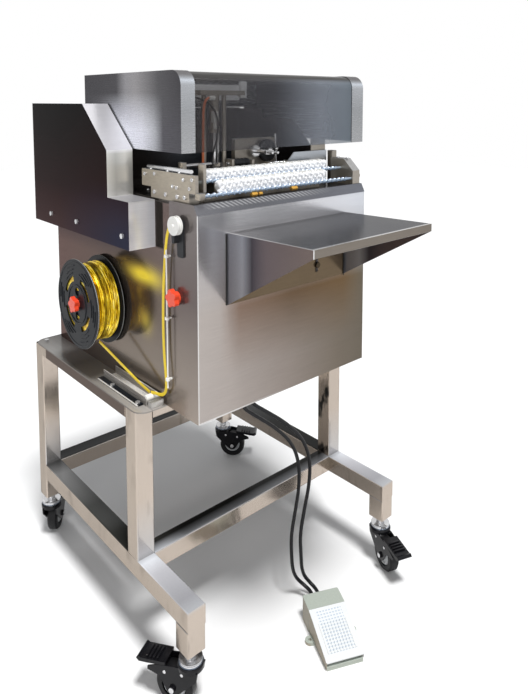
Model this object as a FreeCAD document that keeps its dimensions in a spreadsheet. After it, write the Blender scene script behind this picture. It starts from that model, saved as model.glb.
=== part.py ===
import FreeCAD, Part
import math
import os
import re
import Sketcher
from FreeCAD import Placement, Rotation, Vector

# Bag tying machine on a caster stand. Millimetres.
# The stand's own corner is the base of all sizes: x runs right from the outer face of the left
# legs, y runs back from the front face of the front legs, and z runs up from the floor.

SIZES = {
    # stand
    "tube": 40, "tube_wall": 1.5, "tube_corner": 3, "foot_plate": 3,
    "stand_right_margin": 66, "stand_depth": 488, "foot_reach": 172,
    "rail_top": 204, "caster_height": 115, "table_top": 515, "table_thickness": 3,
    "table_corner": 26, "table_side_margin": 2, "table_front_margin": 17,
    "top_rail_height": 25, "fit_gap": 0.3,
    # cabinet
    "sheet": 1.5, "cabinet_left": 61, "cabinet_width": 473, "cabinet_overhang": 127,
    "cabinet_back": 473, "cover_depth": 91, "cover_shoulder": 910, "chamfer_rise": 18.5,
    "chamfer_run": 10, "cover_lip": 10, "cabinet_top": 922, "deck_thickness": 5,
    "deck_margin": 5, "deck_front_gap": 3, "deck_back": 305,
    "rear_cover_front": 324, "rear_cover_top": 1100,
    "louvre_count": 6, "louvre_pitch": 22, "louvre_length": 180, "louvre_height": 5,
    # drive cover on the left side
    "drive_cover_left": 2.4, "drive_cover_bottom": 830, "drive_cover_front": 14.6,
    "drive_cover_ledge_rise": 94.5, "drive_cover_face": 98, "drive_cover_face_rise": 95.1,
    "drive_cover_slope_top": 200.5, "drive_cover_slope_rise": 92.4, "drive_cover_back": 468,
    # tray
    "tray_left": 129.4, "tray_width": 335.4, "tray_depth": 225.5, "tray_rear_top": 870.5,
    "tray_rise": 6.5, "tray_lip": 15, "tray_gusset": 140, "tray_slot_length": 29,
    "tray_slot_width": 7, "tray_slot_inset": 90, "tray_slot_level": 766,
    # hood
    "hood_left_inset": 3, "hood_right_reach": 52, "hood_front": -75.6, "hood_back": 313,
    "hood_bottom": 1020, "hood_top": 1176, "hood_corner": 30, "hood_strip": 32,
    "hood_right_strip": 40, "acrylic": 3, "acrylic_lap": 10,
    "hinge_radius": 4, "hinge_width": 50, "hinge_inset": 110, "hinge_leaf": 20,
    "hinge_leaf_thickness": 2,
    # reel of tie
    "reel_y": 227.6, "reel_z": 675.8, "reel_radius": 98, "reel_outer": -7.4,
    "reel_width": 61.4, "flange_thickness": 3, "reel_hub_radius": 28, "reel_hole_radius": 9.5,
    "reel_hole_circle": 27, "reel_slot_inner": 50, "reel_slot_outer": 61, "reel_slot_half_angle": 28, "winding_radius": 87, "spindle_radius": 10,
    "spindle_flange_radius": 20, "spindle_flange_thickness": 5, "spindle_end": -11,
    "reel_knob_radius": 15.5, "knob_lobe_height": 2.5, "reel_knob_length": 13,
    # star knob of the front cover
    "cover_knob_y": -61.4, "cover_knob_z": 745, "cover_knob_radius": 15.5,
    "cover_knob_length": 16, "cover_knob_boss": 6,
    # tape channel on the table and its roller
    "channel_left": 27, "channel_flange": 15, "channel_width": 31, "channel_front": 14,
    "channel_back": 180, "channel_height": 18, "channel_sheet": 2,
    "roller_radius": 7, "roller_rise": 13, "roller_reach": 4, "roller_pin_radius": 2.5,
    # pulley that turns the tape over into the machine
    "pulley_y": -75, "pulley_z": 887, "pulley_radius": 18, "pulley_width": 11,
    "pulley_standoff": 4, "pulley_groove": 2.5, "bracket_thickness": 3,
    "bracket_width": 24, "bracket_height": 62,
    "guide_rod_y": -38, "guide_rod_radius": 1.5, "guide_rod_standoff": 9,
    "guide_rod_bottom": 560, "guide_rod_top": 834, "eyelet_radius": 4.5,
    # feed belts and spring rods
    "belt_loop_radius": 10.5, "belt_thickness": 3, "belt_width": 15, "lug_pitch": 18,
    "lug_length": 9, "lug_height": 3, "front_belt_y": -95, "front_belt_z": 955,
    "front_belt_left": 142, "front_belt_inset": 116, "rear_belt_y": -61,
    "rear_belt_z": 973, "rear_belt_left": 135, "rear_belt_inset": 79,
    "carrier_thickness": 4, "carrier_gap": 2, "carrier_overlap": 8, "sprocket_pin_radius": 3,
    "spring_radius": 4.5, "front_spring_y": -108, "front_spring_z": 941,
    "rear_spring_y": -71, "rear_spring_z": 957, "feed_plate_left": 66,
    "feed_plate_thickness": 7, "feed_plate_front": -116, "feed_plate_back": 70,
    "feed_plate_bottom": 948, "feed_plate_top": 982, "feed_foot_width": 22,
    "feed_foot_front": -96, "feed_foot_back": 36, "end_block_width": 24,
    "end_block_front": -115, "end_block_back": -48,
    "end_block_top": 985, "end_nut_length": 12, "end_nut_radius": 7,
    # guide plate, twister and press
    "guide_left_inset": 174, "guide_right_inset": 34, "guide_y": -38, "guide_top": 1003,
    "guide_thickness": 3, "guide_foot": 16, "guide_slope": 34,
    "twister_x": 326, "twister_z": 1006, "twister_plate_y": 26, "twister_plate_thickness": 12,
    "twister_plate_left": 274, "twister_plate_right": 392, "twister_plate_top": 1035,
    "twister_foot_depth": 46, "spindle_shaft_radius": 5, "hook_reach": 40, "hook_radius": 11,
    "gear_module": 1.5, "pinion_teeth": 16, "gear_teeth": 32, "gear_width": 9, "flank_tip": 41, "flank_root": 29,
    "gear_gap": 3, "mesh_gap": 0.35, "bridge_post_radius": 5, "bridge_left": 196, "bridge_right": 250,
    "bridge_y": 34, "bridge_top": 1140, "beam_left": 180, "beam_right": 300,
    "beam_height": 10, "beam_depth": 24, "cylinder_x": 223, "cylinder_radius": 12,
    "cylinder_length": 80, "press_rod_radius": 4, "press_foot_z": 985, "press_travel": 30,
    "press_foot_length": 36, "press_foot_height": 8,
    # pedal
    "pedal_x": 322.6, "pedal_y": -228, "pedal_turn": -25, "pedal_length": 140,
    "pedal_width": 78, "pedal_rear_height": 52, "pedal_front_height": 21,
    "pedal_break": 28, "pedal_base_front": 8, "pedal_base_rear": 29, "treadle_plate": 5,
    "treadle_hinge_inset": 8, "treadle_hinge_z": 36, "treadle_pin_radius": 3, "treadle_skirt": 1.7,
    "treadle_skirt_foot": 9, "treadle_lug_radius": 5, "treadle_lug_width": 8, "treadle_clearance": 0.05,
    "ear_reach": 57, "ear_radius": 10, "ear_hole_radius": 3.5, "ear_thickness": 6,
    "rib_count": 10, "rib_height": 1.2, "rib_width": 3, "rib_pitch": 6.6, "rib_margin": 9, "port_radius": 6, "port_length": 9,
    "port_spacing": 14, "port_z": 22,
    # casters
    "wheel_radius": 37.5, "wheel_width": 24, "wheel_trail": 30, "wheel_bevel": 3.5,
    "hub_recess_outer": 25, "hub_recess_inner": 10, "hub_recess_depth": 4, "axle_radius": 4,
    "axle_head_radius": 6.5, "axle_head": 4, "fork_gap": 3, "fork_plate": 2.5,
    "crown_bottom": 80, "crown_top": 89, "crown_radius": 25, "crown_bevel": 2.5, "race_radius": 22,
    "race_height": 8, "stem_radius": 6, "nut_flats": 19, "nut_height": 9,
    "lever_root": 44, "lever_reach": 106, "lever_thickness": 5.5, "lever_pivot": 58,
    "lever_level": 72, "lever_pin_radius": 2.5, "lever_lug_radius": 4.5, "lever_clearance": 0.05,
    # screws
    "screw_radius": 5.5, "screw_head": 4, "tray_screw_radius": 6.5, "cover_screw_rise": 25.7,
    "cover_screw_rear": 97.4, "cover_screw_middle": 230.2, "cover_screw_front": 24.2,
    "channel_screw_first": 8.5, "channel_screw_second": 112.5,
    # hoses
    "hose_radius": 4, "gland_y": -70, "gland_radius": 8, "gland_length": 15, "gland_bore": 4,
    # middle of the overall box, seen from the stand's corner
    "origin_x": 310.968, "origin_y": 104.296,
}

FORMULAS = {
    "cabinet_right": "cabinet_left + cabinet_width",
    "stand_width": "cabinet_right + stand_right_margin",
    "stand_inner_right": "stand_width - tube",
    "rear_leg_front": "stand_depth - tube",
    "foot_front": "-foot_reach",
    "rail_bottom": "rail_top - tube",
    "table_bottom": "table_top - table_thickness",
    "cabinet_front": "-cabinet_overhang",
    "cover_back": "cabinet_front + cover_depth",
    "cover_top": "cover_shoulder + chamfer_rise",
    "deck_top": "cabinet_top + deck_thickness",
    "cover_lip_edge": "cabinet_front + chamfer_run + cover_lip",
    "drive_cover_ledge": "drive_cover_bottom + drive_cover_ledge_rise",
    "drive_cover_slope_foot": "drive_cover_ledge + drive_cover_face_rise",
    "drive_cover_top": "drive_cover_slope_foot + drive_cover_slope_rise",
    "hood_left": "cabinet_left + hood_left_inset",
    "hood_right": "cabinet_right + hood_right_reach",
    "front_belt_right": "cabinet_right - front_belt_inset",
    "rear_belt_right": "cabinet_right - rear_belt_inset",
    "end_block_right": "cabinet_right - deck_margin",
    "end_block_left": "end_block_right - end_block_width",
    "guide_left": "cabinet_right - guide_left_inset",
    "guide_right": "cabinet_right - guide_right_inset",
    "tray_right": "tray_left + tray_width",
    "tray_front": "cabinet_front - tray_depth",
    "hinge_y": "hood_back + hinge_leaf_thickness + hinge_radius",
    "hinge_z": "rear_cover_top + hinge_radius",
    "reel_inner": "reel_outer + reel_width",
    "channel_right": "channel_left + channel_width",
    "roller_y": "channel_front - roller_reach",
    "roller_z": "table_top + roller_rise",
    "pulley_inner": "cabinet_left - pulley_standoff - bracket_thickness",
    "front_carrier_y": "front_belt_y + belt_width / 2 + carrier_gap",
    "rear_carrier_y": "rear_belt_y + belt_width / 2 + carrier_gap",
    "pinion_pitch": "gear_module * pinion_teeth / 2",
    "gear_pitch": "gear_module * gear_teeth / 2",
    "gear_x": "twister_x + pinion_pitch + gear_pitch + mesh_gap",
    "gear_front": "twister_plate_y - gear_gap - gear_width",
}

DOC = FreeCAD.newDocument("bag_tying_machine")
SHEET = DOC.addObject("Spreadsheet::Sheet", "sizes")
ROW = 0
for name, value in SIZES.items():
    ROW += 1
    SHEET.set(f"A{ROW}", name)
    SHEET.set(f"B{ROW}", str(value))
    SHEET.setAlias(f"B{ROW}", name)
for name, formula in FORMULAS.items():
    ROW += 1
    SHEET.set(f"A{ROW}", name)
    SHEET.set(f"B{ROW}", f"={formula}")
    SHEET.setAlias(f"B{ROW}", name)
DOC.recompute()

NAMES = set(SIZES) | set(FORMULAS)
NODES = []
CUTS = []


def size(name):
    """A size read from the sheet."""
    return float(SHEET.get(name))


def bound(text):
    """An expression on the sheet's names, as the document writes it."""
    return re.sub(r"[a-z][a-z_0-9]*", lambda w: "sizes." + w.group() if w.group() in NAMES else w.group(), str(text))


def bind(thing, prop, text):
    thing.setExpression(prop, bound(text))


def seat(thing, x="0", y="0", z="0", turn="0", axis=Vector(0, 0, 1)):
    """Place a finished sub-part, measured from the stand's corner, in the machine's own frame."""
    bind(thing, "Placement.Base.x", f"{x} - origin_x")
    bind(thing, "Placement.Base.y", f"{y} - origin_y")
    bind(thing, "Placement.Base.z", z)
    if turn != "0":
        thing.Placement.Rotation = Rotation(axis, 1)
        bind(thing, "Placement.Rotation.Angle", turn)
    NODES.append(thing)
    return thing


PLANES = {"x": "YZ_Plane", "y": "XZ_Plane", "z": "XY_Plane"}


class Piece:
    """A body built from sketches that lie across x, y or z and are pushed along it."""

    def __init__(self, label):
        self.body = DOC.addObject("PartDesign::Body", label)
        self.body.Label = label
        self.tip = None

    def sketch(self, across, level, loops):
        plane = [p for p in self.body.Origin.OriginFeatures if p.Role == PLANES[across]][0]
        sketch = self.body.newObject("Sketcher::SketchObject", self.body.Label + "_sketch")
        sketch.AttachmentSupport = [(plane, "")]
        sketch.MapMode = "FlatFace"
        bind(sketch, "AttachmentOffset.Base.z", f"-({level})" if across == "y" else level)
        for loop in loops:
            if isinstance(loop, tuple):
                self.circle(sketch, *loop)
            else:
                self.outline(sketch, loop)
        return sketch

    def pin(self, sketch, kind, geometry, point, text):
        index = sketch.addConstraint(Sketcher.Constraint(kind, -1, 1, geometry, point, 1.0))
        bind(sketch, f"Constraints[{index}]", text)

    def outline(self, sketch, corners):
        first = sketch.GeometryCount
        count = len(corners)
        spots = [Vector(math.cos(2 * math.pi * i / count), math.sin(2 * math.pi * i / count), 0) for i in range(count)]
        for i in range(count):
            sketch.addGeometry(Part.LineSegment(spots[i], spots[(i + 1) % count]), False)
        for i in range(count):
            sketch.addConstraint(Sketcher.Constraint("Coincident", first + i, 2, first + (i + 1) % count, 1))
        for i, (across, along) in enumerate(corners):
            self.pin(sketch, "DistanceX", first + i, 1, across)
            self.pin(sketch, "DistanceY", first + i, 1, along)

    def circle(self, sketch, across, along, radius):
        index = sketch.addGeometry(Part.Circle(Vector(1, 1, 0), Vector(0, 0, 1), 1), False)
        self.pin(sketch, "DistanceX", index, 3, across)
        self.pin(sketch, "DistanceY", index, 3, along)
        ring = sketch.addConstraint(Sketcher.Constraint("Radius", index, 1.0))
        bind(sketch, f"Constraints[{ring}]", radius)

    def push(self, kind, across, level, length, loops):
        feature = self.body.newObject(kind, self.body.Label + "_" + kind.split("::")[1].lower())
        feature.Profile = self.sketch(across, level, loops)
        forward = across != "y"
        feature.Reversed = (not forward) if kind == "PartDesign::Pad" else forward
        bind(feature, "Length", length)
        self.body.Tip = feature
        before = self.tip
        self.tip = feature
        DOC.recompute()
        if before is not None:
            CUTS.append((feature, before, kind))
        return self

    def pad(self, across, level, length, *loops):
        return self.push("PartDesign::Pad", across, level, length, loops)

    def cut(self, across, level, length, *loops):
        return self.push("PartDesign::Pocket", across, level, length, loops)

    def edges(self, along, test):
        found = []
        for number, edge in enumerate(self.tip.Shape.Edges, start=1):
            if edge.Curve.TypeId != "Part::GeomLine":
                continue
            direction = edge.tangentAt(edge.FirstParameter)
            if abs(abs(getattr(direction, along)) - 1) < 1e-6 and test(edge.CenterOfMass):
                found.append(f"Edge{number}")
        return found

    def round(self, along, radius, test=lambda spot: True):
        """Round the straight edges that run along an axis and pass the test."""
        return self.dress("PartDesign::Fillet", self.edges(along, test), "Radius", radius)

    def bevel_rims(self, width, test):
        """Bevel circular edges that pass the test."""
        rims = [
            f"Edge{number}" for number, edge in enumerate(self.tip.Shape.Edges, start=1)
            if edge.Curve.TypeId == "Part::GeomCircle" and test(edge)
        ]
        return self.dress("PartDesign::Chamfer", rims, "Size", width)

    def dress(self, kind, names, prop, text):
        feature = self.body.newObject(kind, self.body.Label + "_" + kind.split("::")[1].lower())
        feature.Base = (self.tip, names)
        bind(feature, prop, text)
        self.body.Tip = feature
        self.tip = feature
        DOC.recompute()
        return self

    def shell(self, wall, *directions):
        """Hollow the body to a sheet that is open towards the given directions."""
        names = []
        for number, face in enumerate(self.tip.Shape.Faces, start=1):
            if face.Surface.TypeId != "Part::GeomPlane":
                continue
            normal = face.normalAt(0, 0)
            if any((normal - way).Length < 1e-3 for way in directions):
                names.append(f"Face{number}")
        feature = self.body.newObject("PartDesign::Thickness", self.body.Label + "_sheet")
        feature.Base = (self.tip, names)
        feature.Reversed = True
        feature.Join = 1
        bind(feature, "Value", wall)
        self.body.Tip = feature
        self.tip = feature
        DOC.recompute()
        return self

    def repeat(self, axis_role, count):
        """Repeat the last feature round one of the body's own axes."""
        axis = [a for a in self.body.Origin.OriginFeatures if a.Role == axis_role][0]
        pattern = self.body.newObject("PartDesign::PolarPattern", self.body.Label + "_pattern")
        pattern.Originals = [self.tip]
        pattern.Axis = (axis, [""])
        pattern.Angle = 360
        bind(pattern, "Occurrences", count)
        self.body.Tip = pattern
        self.tip = pattern
        DOC.recompute()
        return self


def ring_points(count, radius, start=0.0, step=None):
    """Points on a circle, or on a wavy one where the radius is a text with the angle in it."""
    turn = 360 / count if step is None else step
    points = []
    for number in range(count):
        angle = round(start + number * turn, 3)
        reach = str(radius).replace("angle", str(angle))
        points.append((f"({reach}) * cos({angle})", f"({reach}) * sin({angle})"))
    return points


def box(label, x, y, z):
    """A block between two values along each axis."""
    block = DOC.addObject("Part::Box", label)
    for prop, side, (low, high) in zip(("Length", "Width", "Height"), "xyz", (x, y, z)):
        bind(block, prop, f"({high}) - ({low})")
        bind(block, f"Placement.Base.{side}", low)
    return block


TURNS = {"x": Rotation(Vector(0, 1, 0), 90), "y": Rotation(Vector(1, 0, 0), -90), "z": Rotation()}


def rod(label, along, spot, radius, length):
    """A round bar that starts at a spot and runs along an axis."""
    bar = DOC.addObject("Part::Cylinder", label)
    bar.Placement = Placement(Vector(0, 0, 0), TURNS[along])
    bind(bar, "Radius", radius)
    bind(bar, "Height", length)
    for side, text in zip("xyz", spot):
        bind(bar, f"Placement.Base.{side}", text)
    return bar


def fuse(label, *things):
    whole = DOC.addObject("Part::MultiFuse", label)
    whole.Label = label
    whole.Shapes = list(things)
    whole.Refine = True
    return whole


def carve(label, base, *tools):
    whole = DOC.addObject("Part::Cut", label)
    whole.Label = label
    whole.Base = base
    whole.Tool = tools[0] if len(tools) == 1 else fuse(label + "_tools", *tools)
    return whole


def group(label, *things):
    whole = DOC.addObject("Part::Compound", label)
    whole.Label = label
    whole.Links = list(things)
    return whole


def inner(low, high, wall):
    return (f"{low} + {wall}", f"{high} - {wall}")


def rectangle(a, b):
    return [(a[0], b[0]), (a[1], b[0]), (a[1], b[1]), (a[0], b[1])]


def tube_run(label, along, start, end, a, b, height="tube", plug="0"):
    """A square tube between two values; a and b are its lower sides, plug its closed foot."""
    outer_a = (a, f"{a} + tube")
    outer_b = (b, f"{b} + {height}")
    piece = Piece(label)
    piece.pad(along, start, f"({end}) - ({start})", rectangle(outer_a, outer_b))
    piece.round(along, "tube_corner")
    piece.cut(along, f"{start} + {plug}", f"({end}) - ({start}) - {plug}",
              rectangle(inner(outer_a[0], outer_a[1], "tube_wall"), inner(outer_b[0], outer_b[1], "tube_wall")))
    return piece.body


# Stand: four legs, two side rails that reach forward as feet, cross rails and the table.

legs = []
for side, x in (("left", "0"), ("right", "stand_inner_right")):
    legs.append(tube_run(f"front_leg_{side}", "z", "rail_top", "table_bottom", x, "0"))
    legs.append(tube_run(f"rear_leg_{side}", "z", "caster_height", "table_bottom", x, "rear_leg_front",
                         plug="foot_plate"))
    legs.append(tube_run(f"foot_{side}", "z", "caster_height", "rail_bottom", x, "foot_front",
                         plug="foot_plate"))
seat(group("stand_legs", *legs))

rails = []
for side, x in (("left", "0"), ("right", "stand_inner_right")):
    rails.append(tube_run(f"side_rail_{side}", "y", "foot_front", "rear_leg_front", x, "rail_bottom",
                          plug="foot_plate"))
seat(group("side_rails", *rails))

top_level = "table_bottom - top_rail_height"
seat(group(
    "cross_rails",
    tube_run("front_cross_rail", "x", "tube", "stand_inner_right", "0", "rail_bottom"),
    tube_run("rear_cross_rail", "x", "tube", "stand_inner_right", "rear_leg_front", "rail_bottom"),
    tube_run("top_rail_left", "y", "tube", "rear_leg_front", "0", top_level, "top_rail_height"),
    tube_run("top_rail_right", "y", "tube", "rear_leg_front", "stand_inner_right", top_level, "top_rail_height"),
    tube_run("top_rail_front", "x", "tube", "stand_inner_right", "0", top_level, "top_rail_height"),
    tube_run("top_rail_rear", "x", "tube", "stand_inner_right", "rear_leg_front", top_level, "top_rail_height"),
))

table = Piece("table_plate")
table.pad("z", "table_bottom", "table_thickness", rectangle(
    ("-table_side_margin", "stand_width + table_side_margin"),
    ("-table_front_margin", "stand_depth + table_side_margin")))
table.round("z", "table_corner")
seat(table.body)

# Cabinet: a folded body, a deep front cover, a rear panel and the deck on top.

body = Piece("cabinet_body")
body.pad("x", "cabinet_left", "cabinet_width",
         rectangle(("cover_back", "cabinet_back"), ("table_top", "cabinet_top")))
body.shell("sheet", Vector(0, -1, 0), Vector(0, 1, 0))
seat(body.body)

cover = Piece("front_cover")
cover.pad("x", "cabinet_left", "cabinet_width", [
    ("cabinet_front", "table_top"), ("cover_back", "table_top"), ("cover_back", "cover_top"),
    ("cabinet_front + chamfer_run", "cover_top"), ("cabinet_front", "cover_shoulder")])
cover.round("z", "sheet + 1", lambda spot: spot.y < size("cabinet_front") + 0.1)
cover.shell("sheet", Vector(0, 1, 0))
cover.cut("z", "cover_top - sheet - 1", "sheet + 2", rectangle(
    inner("cabinet_left", "cabinet_right", "sheet"),
    ("cover_lip_edge", "cover_back + 1")))
seat(cover.body)

rear = Piece("rear_panel")
rear.pad("y", "cabinet_back", "sheet",
         rectangle(("cabinet_left", "cabinet_right"), ("table_top", "cabinet_top")))
middle = "(cabinet_left + cabinet_right) / 2"
vents = []
for step in range(int(size("louvre_count"))):
    level = f"table_top + 120 + {step} * louvre_pitch"
    vents.append(rectangle(
        (f"{middle} - louvre_length / 2", f"{middle} + louvre_length / 2"), (level, f"{level} + louvre_height")))
rear.cut("y", "cabinet_back - 1", "sheet + 2", *vents)
seat(rear.body)

deck = Piece("mechanism_deck")
deck.pad("z", "cabinet_top", "deck_thickness", rectangle(
    ("cabinet_left + deck_margin", "cabinet_right - deck_margin"),
    ("cover_lip_edge + deck_front_gap", "deck_back")))
seat(deck.body)

upper = Piece("rear_cover")
upper.pad("x", "cabinet_left", "cabinet_width",
          rectangle(("rear_cover_front", "cabinet_back"), ("cabinet_top", "rear_cover_top")))
upper.round("x", "4", lambda spot: spot.z > size("rear_cover_top") - 0.1 and spot.y > size("rear_cover_front") + 1)
upper.shell("sheet", Vector(0, 0, -1))
seat(upper.body)

# Drive cover: a stepped sheet box with a sloped face, bolted to the cabinet's left side.

drive = Piece("drive_cover")
drive.pad("x", "drive_cover_left", "cabinet_left - drive_cover_left", [
    ("drive_cover_front", "drive_cover_bottom"), ("drive_cover_back", "drive_cover_bottom"),
    ("drive_cover_back", "drive_cover_top"), ("drive_cover_slope_top", "drive_cover_top"),
    ("drive_cover_face", "drive_cover_slope_foot"), ("drive_cover_face", "drive_cover_ledge"),
    ("drive_cover_front", "drive_cover_ledge")])
drive.shell("sheet", Vector(1, 0, 0))
seat(drive.body)

# Tray: a wedge of folded sheet with gussets, a front lip and slots in its back wall.

tray = Piece("bag_tray")
tray.pad("x", "tray_left", "tray_width", [
    ("cabinet_front", "tray_rear_top - tray_gusset"), ("cabinet_front", "tray_rear_top"),
    ("tray_front", "tray_rear_top + tray_rise"), ("tray_front", "tray_rear_top + tray_rise - tray_lip")])
rise = size("tray_rear_top") + size("tray_rise") - size("tray_lip") - size("tray_rear_top") + size("tray_gusset")
slant = Vector(0, -rise, -size("tray_depth"))
slant.normalize()
tray.shell("sheet", slant)
slots = []
for x in ("tray_left + tray_slot_inset", "tray_right - tray_slot_inset"):
    slots.append(rectangle(
        (f"{x} - tray_slot_width / 2", f"{x} + tray_slot_width / 2"),
        ("tray_slot_level - tray_slot_length / 2", "tray_slot_level + tray_slot_length / 2")))
tray.cut("y", "cabinet_front - sheet - 1", "sheet + 2", *slots)
seat(tray.body)

# Hood: two steel end caps with a rounded top front edge, a clear shell and a rear rail with hinges.


def hood_form(label, left, right, inset, back):
    piece = Piece(label)
    piece.pad("x", left, f"({right}) - ({left})", rectangle(
        (f"hood_front + {inset}", back), ("hood_bottom", f"hood_top - {inset}")))
    piece.round("x", f"hood_corner - {inset}",
                lambda spot: spot.y < 0 and spot.z > size("hood_bottom") + 10)
    return piece


left_cap = hood_form("hood_left_cap", "hood_left", "hood_left + hood_strip", "0", "hood_back")
left_cap.shell("sheet", Vector(1, 0, 0), Vector(0, 1, 0), Vector(0, 0, -1))
seat(left_cap.body)

right_cap = hood_form("hood_right_cap", "hood_right - hood_right_strip", "hood_right", "0", "hood_back")
right_cap.shell("sheet", Vector(-1, 0, 0), Vector(0, 1, 0), Vector(0, 0, -1))
seat(right_cap.body)

shell = hood_form("hood_shell", "hood_left + hood_strip - acrylic_lap",
                  "hood_right - hood_right_strip + acrylic_lap", "sheet", "hood_back - sheet")
shell.shell("acrylic", Vector(1, 0, 0), Vector(-1, 0, 0), Vector(0, 1, 0), Vector(0, 0, -1))
seat(shell.body)

rail_bottom = "hinge_z + hinge_radius + fit_gap"
back_rail = box("back_rail_sheet", inner("hood_left", "hood_right", "sheet"),
                ("hood_back - sheet", "hood_back"), (rail_bottom, "hood_top - sheet"))
moving = [back_rail]
fixed = []
for side, x in (("left", "hood_left + hinge_inset"), ("right", "cabinet_right - hinge_inset")):
    third = "hinge_width / 3"
    moving.append(box(f"leaf_up_{side}", (x, f"{x} + hinge_width"),
                      ("hood_back", "hood_back + hinge_leaf_thickness"),
                      (rail_bottom, f"{rail_bottom} + hinge_leaf")))
    moving.append(box(f"leaf_tab_{side}", (f"{x} + {third} + fit_gap", f"{x} + 2 * {third} - fit_gap"),
                      ("hood_back", "hood_back + hinge_leaf_thickness"),
                      ("hinge_z", rail_bottom)))
    moving.append(rod(f"knuckle_up_{side}", "x", (f"{x} + {third} + fit_gap", "hinge_y", "hinge_z"),
                      "hinge_radius", f"{third} - 2 * fit_gap"))
    for end, start in (("a", x), ("b", f"{x} + 2 * {third}")):
        knuckle = rod(f"knuckle_{side}_{end}", "x", (start, "hinge_y", "hinge_z"), "hinge_radius", third)
        leaf = box(f"leaf_down_{side}_{end}", (start, f"{start} + {third}"),
                   ("hinge_y", "hinge_y + hinge_leaf"),
                   ("rear_cover_top", "rear_cover_top + hinge_leaf_thickness"))
        fixed.append(fuse(f"hinge_{side}_{end}", knuckle, leaf))
seat(fuse("hood_back_rail", *moving))
seat(group("hood_hinges", *fixed))

# Reel of tie on its spindle, with the winding and the star knob that keeps it on.

spindle = fuse(
    "reel_spindle_solid",
    rod("spindle_bar", "x", ("spindle_end", "reel_y", "reel_z"), "spindle_radius",
        "cabinet_left - spindle_end"),
    rod("spindle_flange", "x", ("cabinet_left - spindle_flange_thickness", "reel_y", "reel_z"),
        "spindle_flange_radius", "spindle_flange_thickness"))
spindle.Label = "reel_spindle"
seat(spindle)

reel = Piece("tie_reel")
reel.pad("x", "reel_outer", "flange_thickness", ("0", "0", "reel_radius"))
reel.pad("x", "reel_outer + flange_thickness", "reel_width - 2 * flange_thickness", ("0", "0", "reel_hub_radius"))
reel.pad("x", "reel_inner - flange_thickness", "flange_thickness", ("0", "0", "reel_radius"))
reel.cut("x", "reel_outer - 1", "reel_width + 2", ("0", "0", "spindle_radius + fit_gap"))
reel.cut("x", "reel_outer - 1", "flange_thickness + 1.5", ("0", "reel_hole_circle", "reel_hole_radius"),
         ("0", "-reel_hole_circle", "reel_hole_radius"))
half_slot = size("reel_slot_half_angle")
slot_step = half_slot / 3
outer_side = ring_points(7, "reel_slot_outer", 45 - half_slot, slot_step)
inner_side = ring_points(7, "reel_slot_inner", 45 + half_slot, -slot_step)
reel.cut("x", "reel_outer - 1", "flange_thickness + 2", outer_side + inner_side)
reel.repeat("X_Axis", "4")
seat(reel.body, y="reel_y", z="reel_z")

winding_start = "reel_outer + flange_thickness"
seat(carve(
    "tie_winding",
    rod("winding_outside", "x", (winding_start, "reel_y", "reel_z"), "winding_radius",
        "reel_width - 2 * flange_thickness"),
    rod("winding_inside", "x", (f"{winding_start} - 1", "reel_y", "reel_z"), "reel_hub_radius",
        "reel_width - 2 * flange_thickness + 2")))


def star_knob(label, radius, length, start, boss):
    """A five-lobed grip on a round boss; it stands out towards the left."""
    piece = Piece(label)
    wavy = f"{radius} + knob_lobe_height * cos(5 * angle)"
    piece.pad("x", f"{start} - ({length})", f"({length}) - ({boss})", ring_points(30, wavy))
    piece.pad("x", f"{start} - ({boss})", boss, ring_points(15, f"{radius} - knob_lobe_height - 1"))
    return piece


knob = star_knob("reel_knob", "reel_knob_radius", "reel_knob_length", "reel_outer", "4")
knob.cut("x", "spindle_end - 1", "reel_outer - spindle_end + 2", ("0", "0", "spindle_radius + fit_gap"))
seat(knob.body, y="reel_y", z="reel_z")

cover_knob = star_knob("cover_knob", "cover_knob_radius", "cover_knob_length",
                       "cabinet_left - fit_gap", "cover_knob_boss")
seat(cover_knob.body, y="cover_knob_y", z="cover_knob_z")

# Tape channel with its roller, the guides up the cabinet's side and the turning pulley.

channel = Piece("tape_channel")
level = "table_top + channel_sheet"
channel.pad("y", "channel_front", "channel_back - channel_front", [
    ("channel_left - channel_flange", "table_top"), ("channel_right", "table_top"),
    ("channel_right", "table_top + channel_height"),
    ("channel_right - channel_sheet", "table_top + channel_height"),
    ("channel_right - channel_sheet", level), ("channel_left + channel_sheet", level),
    ("channel_left + channel_sheet", "table_top + channel_height"),
    ("channel_left", "table_top + channel_height"), ("channel_left", level),
    ("channel_left - channel_flange", level)])
channel.pad("x", "channel_left", "channel_sheet", rectangle(
    ("roller_y - roller_radius", "channel_front + 2"), ("table_top", "table_top + channel_height")))
channel.pad("x", "channel_right - channel_sheet", "channel_sheet", rectangle(
    ("roller_y - roller_radius", "channel_front + 2"), ("table_top", "table_top + channel_height")))
channel.round("x", "6", lambda spot: spot.y < size("roller_y") and spot.z > size("table_top") + 5)
channel.pad("x", "channel_left + channel_sheet", "channel_width - 2 * channel_sheet",
            ("roller_y", "roller_z", "roller_pin_radius"))
seat(channel.body)

gap = "fit_gap"
seat(carve(
    "channel_roller",
    rod("roller_outside", "x", (f"channel_left + channel_sheet + {gap}", "roller_y", "roller_z"),
        "roller_radius", f"channel_width - 2 * channel_sheet - 2 * {gap}"),
    rod("roller_bore", "x", ("channel_left", "roller_y", "roller_z"), f"roller_pin_radius + {gap}",
        "channel_width")))

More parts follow.
